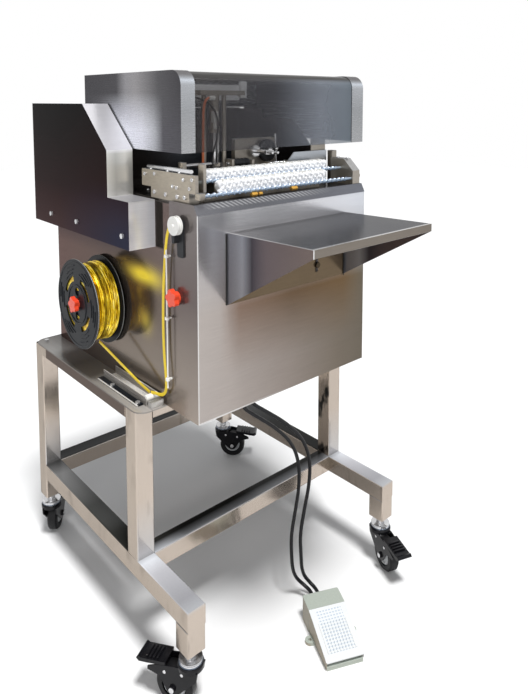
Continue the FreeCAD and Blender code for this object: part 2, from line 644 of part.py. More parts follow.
bracket = Piece("pulley_bracket")
bracket.pad("x", "cabinet_left - bracket_thickness", "bracket_thickness", [
    ("-bracket_width / 2", "10"), ("bracket_width / 2", "10"),
    ("bracket_width / 2 - 4", "-bracket_height"), ("-bracket_width / 2", "-bracket_height")])
bracket.round("x", "5")
bracket.pad("x", "pulley_inner - pulley_width - 2", "pulley_width + 2 + pulley_standoff",
            ("0", "0", "roller_pin_radius + 1"))
bracket.pad("x", "pulley_inner", "pulley_standoff", ("0", "0", "7"))
bracket.pad("x", "cabinet_left - 14", "14 - bracket_thickness", rectangle(("2", "10"), ("-34", "-20")))
seat(bracket.body, y="pulley_y", z="pulley_z")

pulley = Piece("tape_pulley")
pulley.pad("x", "pulley_inner - pulley_width", "pulley_width - fit_gap", ("0", "0", "pulley_radius"),
           ("0", "0", "roller_pin_radius + 1 + fit_gap"))
pulley.cut("x", "pulley_inner - pulley_width / 2 - 2.5", "5", ("0", "0", "pulley_radius + 1"),
           ("0", "0", "pulley_radius - pulley_groove"))
seat(pulley.body, y="pulley_y", z="pulley_z")

guide_x = "cabinet_left - guide_rod_standoff"
guides = [rod("guide_bar", "z", (guide_x, "guide_rod_y", "guide_rod_bottom"), "guide_rod_radius",
              "guide_rod_top - guide_rod_bottom")]
for step in range(3):
    height = f"guide_rod_bottom + {step} * (guide_rod_top - guide_rod_bottom - 30) / 2 + 15"
    guides.append(rod(f"eyelet_{step}", "z", (guide_x, "guide_rod_y", height), "eyelet_radius", "5"))
    guides.append(box(f"standoff_{step}", (guide_x, "cabinet_left"), ("guide_rod_y - 2", "guide_rod_y + 2"),
                      (f"{height} + 1", f"{height} + 4")))
seat(fuse("tape_guides", *guides))

# Feed belts: white lug belts on sprockets, carried by plates behind them, and two spring rods.


def lug_belt(name):
    """A closed belt round two sprockets, with lugs along its upper and lower runs."""
    y = f"{name}_belt_y - belt_width / 2"
    left, right, z = f"{name}_belt_left", f"{name}_belt_right", f"{name}_belt_z"
    outside = "belt_loop_radius"
    inside = "(belt_loop_radius - belt_thickness)"

    def loop(tag, radius, back, extra):
        return fuse(
            f"{name}_{tag}_loop",
            box(f"{name}_{tag}_run", (left, right), (f"{y} - {extra}", f"{y} + belt_width + {extra}"),
                (f"{z} - {radius}", f"{z} + {radius}")),
            rod(f"{name}_{tag}_left", "y", (left, f"{y} - {extra}", z), radius, f"belt_width + 2 * {extra}"),
            rod(f"{name}_{tag}_right", "y", (right, f"{y} - {extra}", z), radius, f"belt_width + 2 * {extra}"))

    parts = [carve(f"{name}_band", loop("outer", outside, y, "0"), loop("inner", inside, y, "1"))]
    count = int((size(right) - size(left)) / size("lug_pitch")) + 1
    for step in range(count):
        x = f"{left} + {step} * lug_pitch"
        for tag, low in (("up", f"{z} + belt_loop_radius - 0.5"), ("down", f"{z} - belt_loop_radius - lug_height + 0.5")):
            parts.append(box(f"{name}_lug_{tag}_{step}", (x, f"{x} + lug_length"),
                             (f"{y} + 1", f"{y} + belt_width - 1"), (low, f"{low} + lug_height")))
    return fuse(f"{name}_belt", *parts)


seat(group("lug_belts", lug_belt("front"), lug_belt("rear")))

carriers = []
for name in ("front", "rear"):
    y = f"{name}_carrier_y"
    left, right, z = f"{name}_belt_left", f"{name}_belt_right", f"{name}_belt_z"
    parts = [
        box(f"{name}_carrier_plate", (f"{left} - carrier_overlap", f"{right} + carrier_overlap"),
            (y, f"{y} + carrier_thickness"), ("deck_top", f"{z} + belt_loop_radius - belt_thickness"))]
    for tag, x in (("left", left), ("right", right)):
        parts.append(rod(f"{name}_pin_{tag}", "y", (x, f"{y} - carrier_gap - belt_width", z), "sprocket_pin_radius",
                         "carrier_gap + belt_width + 1"))
    carriers.append(fuse(f"{name}_carrier", *parts))
seat(group("belt_carriers", *carriers))

for name in ("front", "rear"):
    for tag in ("left", "right"):
        sprocket = Piece(f"{name}_sprocket_{tag}")
        sprocket.pad("y", "-belt_width / 2", "belt_width", ("0", "0", "belt_loop_radius - belt_thickness - fit_gap"),
                     ("0", "0", "sprocket_pin_radius + fit_gap"))
        sprocket.cut("y", "-belt_width / 2 - 1", "belt_width + 2",
                     ("0", "belt_loop_radius - belt_thickness + 0.6", "1.8"))
        sprocket.repeat("Y_Axis", "8")
        seat(sprocket.body, x=f"{name}_belt_{tag}", y=f"{name}_belt_y", z=f"{name}_belt_z")

side_plate = Piece("feed_side_plate")
side_plate.pad("x", "feed_plate_left", "feed_plate_thickness", rectangle(
    ("feed_plate_front", "feed_plate_back"), ("feed_plate_bottom", "feed_plate_top")))
side_plate.pad("x", "feed_plate_left", "feed_foot_width", rectangle(
    ("feed_foot_front", "feed_foot_back"), ("deck_top", "feed_plate_bottom")))
end_block = Piece("feed_end_block")
end_block.pad("x", "end_block_left", "end_block_width", [
    ("cover_lip_edge + deck_front_gap", "deck_top"), ("end_block_back", "deck_top"),
    ("end_block_back", "end_block_top"), ("end_block_front + 28", "end_block_top"),
    ("end_block_front", "end_block_top - 26"), ("end_block_front", "cover_top + fit_gap"),
    ("cover_lip_edge + deck_front_gap", "cover_top + fit_gap")])
end_block.pad("x", "end_block_right", "end_nut_length", ("end_block_front + 15", "deck_top + 18", "end_nut_radius"))
seat(group("feed_end_plates", side_plate.body, end_block.body))

springs = []
for name in ("front", "rear"):
    start = "feed_plate_left + feed_plate_thickness"
    springs.append(rod(f"{name}_spring", "x", (start, f"{name}_spring_y", f"{name}_spring_z"),
                       "spring_radius", f"end_block_left - ({start})"))
seat(group("feed_springs", *springs))

# Guide plate behind the belts.

guide = Piece("guide_plate")
guide.pad("y", "guide_y", "guide_thickness", [
    ("guide_left", "deck_top"), ("guide_right", "deck_top"), ("guide_right", "guide_top"),
    ("guide_left + guide_slope", "guide_top"), ("guide_left", "guide_top - guide_slope")])
guide.pad("y", "guide_y", "guide_foot", rectangle(("guide_left", "guide_right"), ("deck_top", "deck_top + guide_thickness")))
seat(guide.body)

# Twister: a bearing plate that carries the hook spindle with its pinion, and the gear that turns it.

plate = Piece("twister_plate")
plate.pad("x", "twister_plate_left", "twister_plate_right - twister_plate_left", [
    ("twister_plate_y", "deck_top"), ("twister_plate_y + twister_foot_depth", "deck_top"),
    ("twister_plate_y + twister_foot_depth", "deck_top + 8"),
    ("twister_plate_y + twister_plate_thickness + 14", "deck_top + 8"),
    ("twister_plate_y + twister_plate_thickness", "deck_top + 26"),
    ("twister_plate_y + twister_plate_thickness", "twister_plate_top"),
    ("twister_plate_y", "twister_plate_top")])
plate.round("y", "5", lambda spot: spot.z > size("twister_plate_top") - 1)
for x in ("twister_x", "gear_x"):
    plate.cut("y", "twister_plate_y - 1", "twister_plate_thickness + 2", (x, "twister_z", "spindle_shaft_radius + 0.05"))
seat(plate.body)


def gear(label, teeth, pitch, behind, ahead):
    """A spur gear on a shaft along y; the shaft runs behind and ahead of the teeth."""
    tip = f"{pitch} + gear_module"
    root = f"{pitch} - 1.25 * gear_module"
    turn = f"360 / {teeth} / 4"
    piece = Piece(label)
    piece.pad("y", "0", "gear_width", ("0", "0", tip))
    piece.pad("y", f"-({ahead})", f"{ahead} + gear_width + {behind}", ("0", "0", "spindle_shaft_radius"))
    gap_tip = f"({tip} + 0.5) * sin({turn} + flank_tip / ({pitch}))"
    gap_root = f"({root}) * sin({turn} - flank_root / ({pitch}))"
    piece.cut("y", "-1", "gear_width + 2", [
        (f"-{gap_root}", root), (gap_root, root), (gap_tip, f"{tip} + 0.5"), (f"-{gap_tip}", f"{tip} + 0.5")])
    piece.repeat("Y_Axis", teeth)
    return piece


back = "gear_gap + twister_plate_thickness + 6"
pinion = gear("twister_spindle", "pinion_teeth", "pinion_pitch", back, "hook_reach")
pinion.pad("y", "-hook_reach - 5", "5", rectangle(("-hook_radius", "hook_radius"), ("-4", "4")))
for sign in ("", "-"):
    pinion.pad("y", "-hook_reach - 23", "20", (f"{sign}(hook_radius - 3)", "0", "2.5"))
seat(pinion.body, x="twister_x", y="gear_front", z="twister_z")

wheel = gear("twister_gear", "gear_teeth", "gear_pitch", back, "4")
seat(wheel.body, x="gear_x", y="gear_front", z="twister_z", turn="180 / gear_teeth", axis=Vector(0, 1, 0))

# Press: two posts and a beam carry an air cylinder, whose rod pushes a foot down.

seat(fuse(
    "press_bridge",
    rod("post_left", "z", ("bridge_left", "bridge_y", "deck_top"), "bridge_post_radius", "bridge_top - deck_top"),
    rod("post_right", "z", ("bridge_right", "bridge_y", "deck_top"), "bridge_post_radius", "bridge_top - deck_top"),
    box("beam", ("beam_left", "beam_right"), ("bridge_y - beam_depth / 2", "bridge_y + beam_depth / 2"),
        ("bridge_top - beam_height", "bridge_top"))))

cylinder_top = "bridge_top - beam_height"
cylinder = Piece("press_cylinder")
cylinder.pad("z", "-cylinder_length", "cylinder_length", ("0", "0", "cylinder_radius"),
             ("0", "0", "press_rod_radius + 0.3"))
cylinder.cut("z", "-cylinder_length + 14", "cylinder_length - 28", ("0", "0", "cylinder_radius + 1"),
             ("0", "0", "cylinder_radius - 1.5"))
seat(cylinder.body, x="cylinder_x", y="bridge_y", z=cylinder_top)

press = Piece("press_rod")
rod_length = f"{cylinder_top} - press_foot_z - 10"
press.pad("z", "press_foot_z", rod_length, ("0", "0", "press_rod_radius"))
press.pad("z", "press_foot_z - press_foot_height", "press_foot_height", rectangle(
    ("-press_foot_length / 2", "press_foot_length / 2"), ("-8", "8")))
press.round("z", "3", lambda spot: abs(spot.x) > 10)
seat(press.body, x="cylinder_x", y="bridge_y")

# Pedal: a cast base with two ears, and the ribbed treadle that tilts at its rear.

half = "pedal_length / 2"
hinge_y = "pedal_break - treadle_hinge_inset"
full = "pedal_width / 2 + treadle_skirt + fit_gap"
base = Piece("pedal_base")
base.pad("x", "-pedal_width / 2", "pedal_width", [
    (f"-{half} + 1", "0"), ("pedal_break + 1", "0"), ("pedal_break + 1", "pedal_base_rear"),
    (f"-{half} + 1", "pedal_base_front")])
base.pad("x", f"-({full})", f"2 * ({full})", [
    ("pedal_break", "0"), (half, "0"), (half, "pedal_rear_height - 3"),
    (f"{half} - 4", "pedal_rear_height"), ("pedal_break", "pedal_rear_height - 2")])
base.round("z", "8", lambda spot: spot.y > size("pedal_length") / 2 - 1)
for sign, start in (("-", "-pedal_width / 2"), ("", "pedal_width / 2 - treadle_lug_width")):
    base.pad("x", start, "treadle_lug_width", (hinge_y, "treadle_hinge_z", "treadle_lug_radius"))
    base.pad("x", start, "treadle_lug_width", rectangle(
        (f"{hinge_y} - treadle_lug_radius", f"{hinge_y} + treadle_lug_radius"), ("pedal_base_rear - 6", "treadle_hinge_z")))
base.pad("x", f"-({full})", f"2 * ({full})", (hinge_y, "treadle_hinge_z", "treadle_pin_radius"))
base.pad("z", "0", "ear_thickness", ("-ear_reach + ear_radius", "4", "ear_radius"))
base.pad("z", "0", "ear_thickness", rectangle(
    ("-ear_reach + ear_radius", "-pedal_width / 2 + 2"), ("4 - ear_radius", "4 + ear_radius")))
base.pad("z", "0", "ear_thickness", ("ear_reach - ear_radius", "4", "ear_radius"))
base.pad("z", "0", "ear_thickness", rectangle(
    ("pedal_width / 2 - 2", "ear_reach - ear_radius"), ("4 - ear_radius", "4 + ear_radius")))
for sign in ("-", ""):
    base.cut("z", "-1", "ear_thickness + 2", (f"{sign}(ear_reach - ear_radius)", "4", "ear_hole_radius"))
for sign in ("-", ""):
    base.pad("y", f"{half} - 2", "port_length + 2", (f"{sign}port_spacing / 2", "port_z", "port_radius"))
seat(base.body, x="pedal_x", y="pedal_y", turn="pedal_turn")

treadle = Piece("pedal_treadle")
front = f"-{half}"
crest_y, crest_z = "pedal_break - 22", "pedal_rear_height - 8"
rear_y = "pedal_break - 0.5"
treadle.pad("x", f"-({full})", f"2 * ({full})", [
    (front, "treadle_skirt_foot"), (front, "pedal_front_height - 3"), (f"{front} + 3", "pedal_front_height"),
    (crest_y, crest_z), (rear_y, "pedal_rear_height - 2"), (rear_y, "treadle_hinge_z"),
    ("pedal_break - 3", "treadle_skirt_foot")])
treadle.round("z", "2.5", lambda spot: spot.y < -size("pedal_length") / 2 + 1)
treadle.cut("x", f"-({full}) + treadle_skirt", f"2 * ({full}) - 2 * treadle_skirt", [
    (f"{front} - 1", "treadle_skirt_foot - 1"), (f"{front} - 1", "pedal_front_height - treadle_plate"),
    (f"{front} + 3", "pedal_front_height - treadle_plate"),
    (crest_y, f"{crest_z} - treadle_plate"), ("pedal_break + 1", "pedal_rear_height - 2 - treadle_plate"),
    ("pedal_break + 1", "treadle_skirt_foot - 1")])
treadle.cut("x", f"-({full}) - 1", f"2 * ({full}) + 2", (hinge_y, "treadle_hinge_z", "treadle_pin_radius + treadle_clearance"))
slope = f"({crest_z} - pedal_front_height) / ({crest_y} - ({front} + 3))"
rib_front, rib_rear = f"{front} + 3 + rib_margin", f"{crest_y} - rib_margin"
for number in range(int(size("rib_count"))):
    middle = f"({number} - (rib_count - 1) / 2) * rib_pitch"
    foot = [(y, f"pedal_front_height + ({y} - ({front} + 3)) * {slope}") for y in (rib_front, rib_rear)]
    treadle.pad("x", f"{middle} - rib_width / 2", "rib_width", [
        (foot[0][0], f"{foot[0][1]} - 1"), (foot[1][0], f"{foot[1][1]} - 1"),
        (foot[1][0], f"{foot[1][1]} + rib_height"), (foot[0][0], f"{foot[0][1]} + rib_height")])
seat(treadle.body, x="pedal_x", y="pedal_y", turn="pedal_turn")

# Casters: a fixed stem with the upper race, a fork that swivels, a wheel and a brake lever.

CASTERS = {
    "front_left": ("tube / 2", "foot_front + tube / 2", 118),
    "front_right": ("stand_width - tube / 2", "foot_front + tube / 2", -110),
    "rear_left": ("tube / 2", "stand_depth - tube / 2", 50),
    "rear_right": ("stand_width - tube / 2", "stand_depth - tube / 2", -45),
}
fork_inner = "(wheel_width / 2 + fork_gap)"

stems = []
for place, (x, y, heading) in CASTERS.items():
    nut = Piece(f"nut_{place}")
    corners = ring_points(6, "nut_flats / sqrt(3)")
    nut.pad("z", "caster_height - nut_height", "nut_height", [(f"{x} + {a}", f"{y} + {b}") for a, b in corners])
    stems.append(fuse(
        f"stem_{place}", nut.body,
        rod(f"stem_bar_{place}", "z", (x, y, "crown_top + fit_gap"), "stem_radius",
            "caster_height - nut_height - crown_top"),
        rod(f"race_{place}", "z", (x, y, "crown_top + fit_gap"), "race_radius", "race_height")))
seat(group("caster_stems", *stems))

for place, (x, y, heading) in CASTERS.items():
    fork = Piece(f"caster_fork_{place}")
    fork.pad("z", "crown_bottom", "crown_top - crown_bottom", ("0", "0", "crown_radius"))
    fork.bevel_rims("crown_bevel", lambda edge: edge.CenterOfMass.z > size("crown_top") - 0.1)
    side = [
        ("-crown_radius + 3", "crown_bottom + 2"), ("-crown_radius + 6", "crown_bottom - 14"),
        ("wheel_trail - 12", "wheel_radius - 8"), ("wheel_trail - 6", "wheel_radius - 12"),
        ("wheel_trail + 6", "wheel_radius - 12"), ("wheel_trail + 12", "wheel_radius - 6"),
        ("wheel_trail + 26", "crown_bottom - 25"), ("lever_pivot + 24", "crown_bottom - 20"),
        ("lever_pivot + 24", "crown_bottom - 14"), ("lever_pivot + 4", "crown_bottom - 5"),
        ("crown_radius", "crown_bottom + 2")]
    fork.pad("y", f"-{fork_inner} - fork_plate", "fork_plate", side)
    fork.pad("y", fork_inner, "fork_plate", side)
    fork.pad("y", f"-{fork_inner} - fork_plate - axle_head", f"2 * ({fork_inner} + fork_plate + axle_head)",
             ("wheel_trail", "wheel_radius", "axle_radius"))
    for start in (f"-{fork_inner} - fork_plate - axle_head", f"{fork_inner} + fork_plate"):
        fork.pad("y", start, "axle_head", ("wheel_trail", "wheel_radius", "axle_head_radius"))
    fork.pad("y", f"-{fork_inner} - 0.5", f"2 * {fork_inner} + 1", ("lever_pivot", "lever_level", "lever_pin_radius"))
    seat(fork.body, x=x, y=y, turn=str(heading))

    wheel = Piece(f"caster_wheel_{place}")
    wheel.pad("y", "-wheel_width / 2", "wheel_width", ("wheel_trail", "wheel_radius", "wheel_radius"),
              ("wheel_trail", "wheel_radius", "axle_radius + fit_gap"))
    wheel.bevel_rims("wheel_bevel", lambda edge: edge.Curve.Radius > size("wheel_radius") - 0.1)
    for start in ("-wheel_width / 2 - 1", "wheel_width / 2 - hub_recess_depth"):
        wheel.cut("y", start, "hub_recess_depth + 1", ("wheel_trail", "wheel_radius", "hub_recess_outer"),
                  ("wheel_trail", "wheel_radius", "hub_recess_inner"))
    seat(wheel.body, x=x, y=y, turn=str(heading))

    lever = Piece(f"caster_brake_{place}")
    lever.pad("y", f"-{fork_inner} - fork_plate - 1", f"2 * ({fork_inner} + fork_plate + 1)", [
        ("lever_root", "crown_bottom - 0.2"), ("lever_root", "crown_bottom + lever_thickness"),
        ("lever_reach - 10", "crown_bottom - 1"), ("lever_reach - 4", "crown_bottom + 1.5"),
        ("lever_reach", "crown_bottom - 4"), ("lever_reach - 6", "crown_bottom - 9"),
        ("lever_reach - 22", "crown_bottom - 7")])
    lever.round("z", "2")
    lug_width = f"2 * ({fork_inner} - fit_gap)"
    lug_start = f"-{fork_inner} + fit_gap"
    lever.pad("y", lug_start, lug_width, ("lever_pivot", "lever_level", "lever_lug_radius"))
    lever.pad("y", lug_start, lug_width, rectangle(
        ("lever_pivot - lever_lug_radius", "lever_pivot + lever_lug_radius"), ("lever_level", "crown_bottom + 1")))
    lever.cut("y", f"-{fork_inner} - 1", f"2 * {fork_inner} + 2",
              ("lever_pivot", "lever_level", "lever_pin_radius + lever_clearance"))
    seat(lever.body, x=x, y=y, turn=str(heading))


# Two air hoses from glands under the cabinet to the ports at the pedal's rear.

GLANDS = (("left", 207), ("right", 226))
glands = []
for side, x in GLANDS:
    spot = (str(x), "gland_y", "table_top - gland_length")
    glands.append(carve(f"gland_{side}", rod(f"gland_body_{side}", "z", spot, "gland_radius", "gland_length"),
                        rod(f"gland_bore_{side}", "z", spot, "hose_radius", "gland_bore")))
seat(group("hose_glands", *glands))

# Points that each hose passes, from below its gland to behind its port.
ROUTES = {
    "left": [(213, -70, 478), (252, -71, 446), (306, -74, 402), (352, -77, 352), (372, -80, 300),
             (368, -85, 246), (350, -91, 198), (330, -98, 154), (326, -104, 104), (332, -102, 72),
             (344, -101, 46), (356, -111, 31)],
    "right": [(235, -73, 482), (274, -76, 452), (330, -80, 408), (379, -84, 356), (400, -88, 300),
              (394, -92, 246), (372, -98, 196), (350, -106, 150), (346, -114, 102), (351, -111, 72),
              (361, -110, 47), (371, -119, 31)],
}


def hose(side, x, sign):
    """A hose of straight runs joined by arcs that touch them, from its gland to its port."""
    turn = Rotation(Vector(0, 0, 1), size("pedal_turn"))
    pedal = Vector(size("pedal_x"), size("pedal_y"), 0)
    reach = size("pedal_length") / 2 + size("port_length")
    port = pedal + turn.multVec(Vector(sign * size("port_spacing") / 2, reach, size("port_z")))
    behind = pedal + turn.multVec(Vector(sign * size("port_spacing") / 2, reach + 22, size("port_z") + 4))
    start = Vector(x, size("gland_y"), size("table_top") - size("gland_length"))
    points = [start] + [Vector(*spot) for spot in ROUTES[side]] + [behind, port]
    edges = []
    radii = []
    last = points[0]
    for before, spot, after in zip(points, points[1:], points[2:]):
        into, out = (spot - before), (after - spot)
        reach = 0.45 * min(into.Length, out.Length)
        into.normalize()
        out.normalize()
        half = into.getAngle(out) / 2
        radius = reach / math.tan(half)
        bend = out - into
        bend.normalize()
        centre = spot + bend * (radius / math.cos(half))
        enter, leave = spot - into * reach, spot + out * reach
        edges.append(Part.LineSegment(last, enter).toShape())
        edges.append(Part.Arc(enter, centre - bend * radius, leave).toShape())
        radii.append(round(radius, 1))
        last = leave
    edges.append(Part.LineSegment(last, points[-1]).toShape())
    first = points[1] - points[0]
    ring = Part.Wire(Part.makeCircle(size("hose_radius"), points[0], first))
    path = Part.Wire(edges)
    tube = path.makePipeShell([ring], True, True)
    whole = DOC.addObject("Part::Feature", f"hose_{side}")
    whole.Label = f"hose_{side}"
    whole.Shape = tube
    section = math.pi * size("hose_radius") ** 2
    print(f"hose {side}: radii {radii}, length {path.Length:.0f}, volume over section times length "
          f"{tube.Volume / (section * path.Length):.4f}")
    return whole


for (side, x), sign in zip(GLANDS, (-1, 1)):
    seat(hose(side, x, sign))

# Screws that hold the drive cover, the table, the channel and the tray.

screws = []


def screw(label, along, level, height, spot, radius="screw_radius"):
    """A six-sided head on a face across an axis."""
    head = Piece(label)
    head.pad(along, level, height, [(f"{spot[0]} + {a}", f"{spot[1]} + {b}") for a, b in ring_points(6, radius)])
    screws.append(head.body)


cover_screw_z = "drive_cover_bottom + cover_screw_rise"
for count, y in enumerate(("drive_cover_back - cover_screw_rear", "drive_cover_back - cover_screw_middle",
                           "drive_cover_front + cover_screw_front")):
    screw(f"cover_screw_{count}", "x", "drive_cover_left - screw_head", "screw_head", (y, cover_screw_z))
for count, spot in enumerate((("tube / 2", "stand_depth - tube / 2"),
                              ("stand_width - tube / 2", "stand_depth - tube / 2"),
                              ("stand_width - tube / 2", "tube / 2"))):
    screw(f"table_screw_{count}", "z", "table_top", "screw_head", spot)
for count, y in enumerate(("channel_screw_first", "channel_screw_second")):
    screw(f"channel_screw_{count}", "z", "table_top + channel_sheet", "screw_head",
          ("channel_left - channel_flange / 2", f"channel_front + {y}"))
for count, x in enumerate(("tray_left + tray_slot_inset", "tray_right - tray_slot_inset")):
    screw(f"tray_screw_{count}", "y", "cabinet_front - sheet - screw_head - fit_gap", "screw_head",
          (x, "tray_slot_level"), "tray_screw_radius")
seat(group("cover_screws", *screws))

DOC.recompute()

for thing in DOC.Objects:
    if "Invalid" in thing.State or "Error" in thing.State:
        raise RuntimeError(f"{thing.Label} failed: {thing.State}")
for feature, before, kind in CUTS:
    if before.Shape.isNull() or abs(feature.Shape.Volume - before.Shape.Volume) < 1e-3:
        raise RuntimeError(f"{feature.Label} changes nothing")
for node in NODES:
    if node.Shape.isNull() or not node.Shape.isValid():
        raise RuntimeError(f"{node.Label} has no sound shape")

os.makedirs("parts", exist_ok=True)
for node in NODES:
    node.Shape.exportStep(f"parts/{node.Label}.step")
whole = Part.makeCompound([node.Shape for node in NODES])
print(len(NODES), "nodes", whole.BoundBox)
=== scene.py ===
import bpy
import math
from mathutils import Matrix, Vector


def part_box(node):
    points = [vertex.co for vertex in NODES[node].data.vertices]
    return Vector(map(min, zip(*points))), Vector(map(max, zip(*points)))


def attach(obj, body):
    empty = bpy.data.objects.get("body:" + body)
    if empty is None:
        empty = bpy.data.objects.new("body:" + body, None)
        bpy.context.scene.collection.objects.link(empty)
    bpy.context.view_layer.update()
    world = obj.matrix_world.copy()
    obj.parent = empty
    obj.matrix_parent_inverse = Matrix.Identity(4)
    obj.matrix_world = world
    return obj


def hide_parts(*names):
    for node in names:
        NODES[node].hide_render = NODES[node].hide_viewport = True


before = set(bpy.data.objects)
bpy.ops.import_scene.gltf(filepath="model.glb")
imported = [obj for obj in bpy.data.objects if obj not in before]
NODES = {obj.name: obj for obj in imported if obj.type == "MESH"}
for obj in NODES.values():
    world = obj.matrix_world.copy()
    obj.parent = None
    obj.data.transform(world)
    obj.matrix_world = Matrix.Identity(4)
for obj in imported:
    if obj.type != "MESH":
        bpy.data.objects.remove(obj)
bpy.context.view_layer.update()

# Lengths are given in millimetres from the stand's front left corner, as the drawing has them.
CORNER = Vector((-310.968, -104.296, 0))


def at(x, y, z):
    return (Vector((x, y, z)) + CORNER) / 1000


def box_of(node):
    """A node's lowest and highest corners, in the drawing's millimetres."""
    return [Vector(corner) * 1000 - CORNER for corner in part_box(node)]


def middle_of(node):
    low, high = box_of(node)
    return (low + high) / 2


COVER_LOW, COVER_HIGH = box_of("front_cover")
TABLE_LOW, TABLE_HIGH = box_of("table_plate")
TABLE = TABLE_HIGH.z
DECK = box_of("mechanism_deck")[1].z
SIDE_PLATE = box_of("feed_end_plates")[0].x
SPRINGS_LOW, SPRINGS_HIGH = box_of("feed_springs")
REEL = middle_of("tie_winding")


# Camera, at the height and angle of the photograph, whose height, focal length and middle are in pixels.

PHOTO_HEIGHT = 694
PHOTO_FOCAL_LENGTH = 629.1
LENS_MIDDLE_ROW = 155.5
SENSOR = 36
EYE = at(-595.2, -1045.7, 1118.8)
LOOK_DOWN = 5
TURN_RIGHT = 41.7

lens = bpy.data.cameras.new("camera")
lens.sensor_width = SENSOR
lens.lens = PHOTO_FOCAL_LENGTH / PHOTO_HEIGHT * SENSOR
lens.shift_y = (LENS_MIDDLE_ROW - PHOTO_HEIGHT / 2) / PHOTO_HEIGHT
lens.clip_end = 50
camera = bpy.data.objects.new("camera", lens)
camera.location = EYE
camera.rotation_euler = (math.radians(90 - LOOK_DOWN), 0, math.radians(-TURN_RIGHT))
bpy.context.scene.collection.objects.link(camera)
bpy.context.scene.camera = camera
bpy.context.scene.view_settings.view_transform = "Standard"


# Hoses: from the glands under the cabinet, through the points that the air lines pass, to the pedal's ports.

PEDAL_X = 322.6
PEDAL_Y = -228
PEDAL_TURN = math.radians(-25)
GLAND_Y = -70
GLAND_Z = 500
HOSE_RADIUS = 4


def on_pedal(x, y, z):
    """A place measured on the pedal, from the middle of its base."""
    cos, sin = math.cos(PEDAL_TURN), math.sin(PEDAL_TURN)
    return at(PEDAL_X + x * cos - y * sin, PEDAL_Y + x * sin + y * cos, z)


# Each hose has its gland's place along x, its side of the pedal and its route.
HOSES = {
    "left": (207, -1, [(213, -70, 478), (252, -71, 446), (306, -74, 402), (352, -77, 352), (372, -80, 300),
                       (368, -85, 246), (350, -91, 198), (330, -98, 154), (326, -104, 104), (332, -102, 72),
                       (344, -101, 46), (356, -111, 31)]),
    "right": (226, 1, [(235, -73, 482), (274, -76, 452), (330, -80, 408), (379, -84, 356), (400, -88, 300),
                       (394, -92, 246), (372, -98, 196), (350, -106, 150), (346, -114, 102), (351, -111, 72),
                       (361, -110, 47), (371, -119, 31)]),
}


def nurbs(name, points, radius, material):
    """A round line through its control points."""
    curve = bpy.data.curves.new(name, "CURVE")
    curve.dimensions = "3D"
    curve.bevel_depth = radius / 1000
    curve.bevel_resolution = 4
    curve.resolution_u = 10
    curve.use_fill_caps = True
    line = curve.splines.new("NURBS")
    line.points.add(len(points) - 1)
    for knot, spot in zip(line.points, points):
        knot.co = (*spot, 1)
    line.order_u = 3
    line.use_endpoint_u = True
    piece = bpy.data.objects.new(name, curve)
    bpy.context.scene.collection.objects.link(piece)
    curve.materials.append(material)
    return piece


class Shade:
    """A value in a material's node tree that takes part in ordinary arithmetic."""

    def __init__(self, paint, socket):
        self.paint = paint
        self.socket = socket

    def combine(self, operation, first, second=0.0):
        return self.paint.node("Math", (first, second), operation=operation)

    def __add__(self, other): return self.combine("ADD", self, other)
    def __sub__(self, other): return self.combine("SUBTRACT", self, other)
    def __rsub__(self, other): return self.combine("SUBTRACT", other, self)
    def __mul__(self, other): return self.combine("MULTIPLY", self, other)
    def __pow__(self, other): return self.combine("POWER", self, other)
    def __gt__(self, other): return self.combine("GREATER_THAN", self, other)
    def __lt__(self, other): return self.combine("LESS_THAN", self, other)
    def sine(self): return self.combine("SINE", self)
    def size(self): return self.combine("ABSOLUTE", self)
    def exponent(self): return self.combine("EXPONENT", self)

    def clamp(self):
        return self.paint.node("Clamp", (self,))


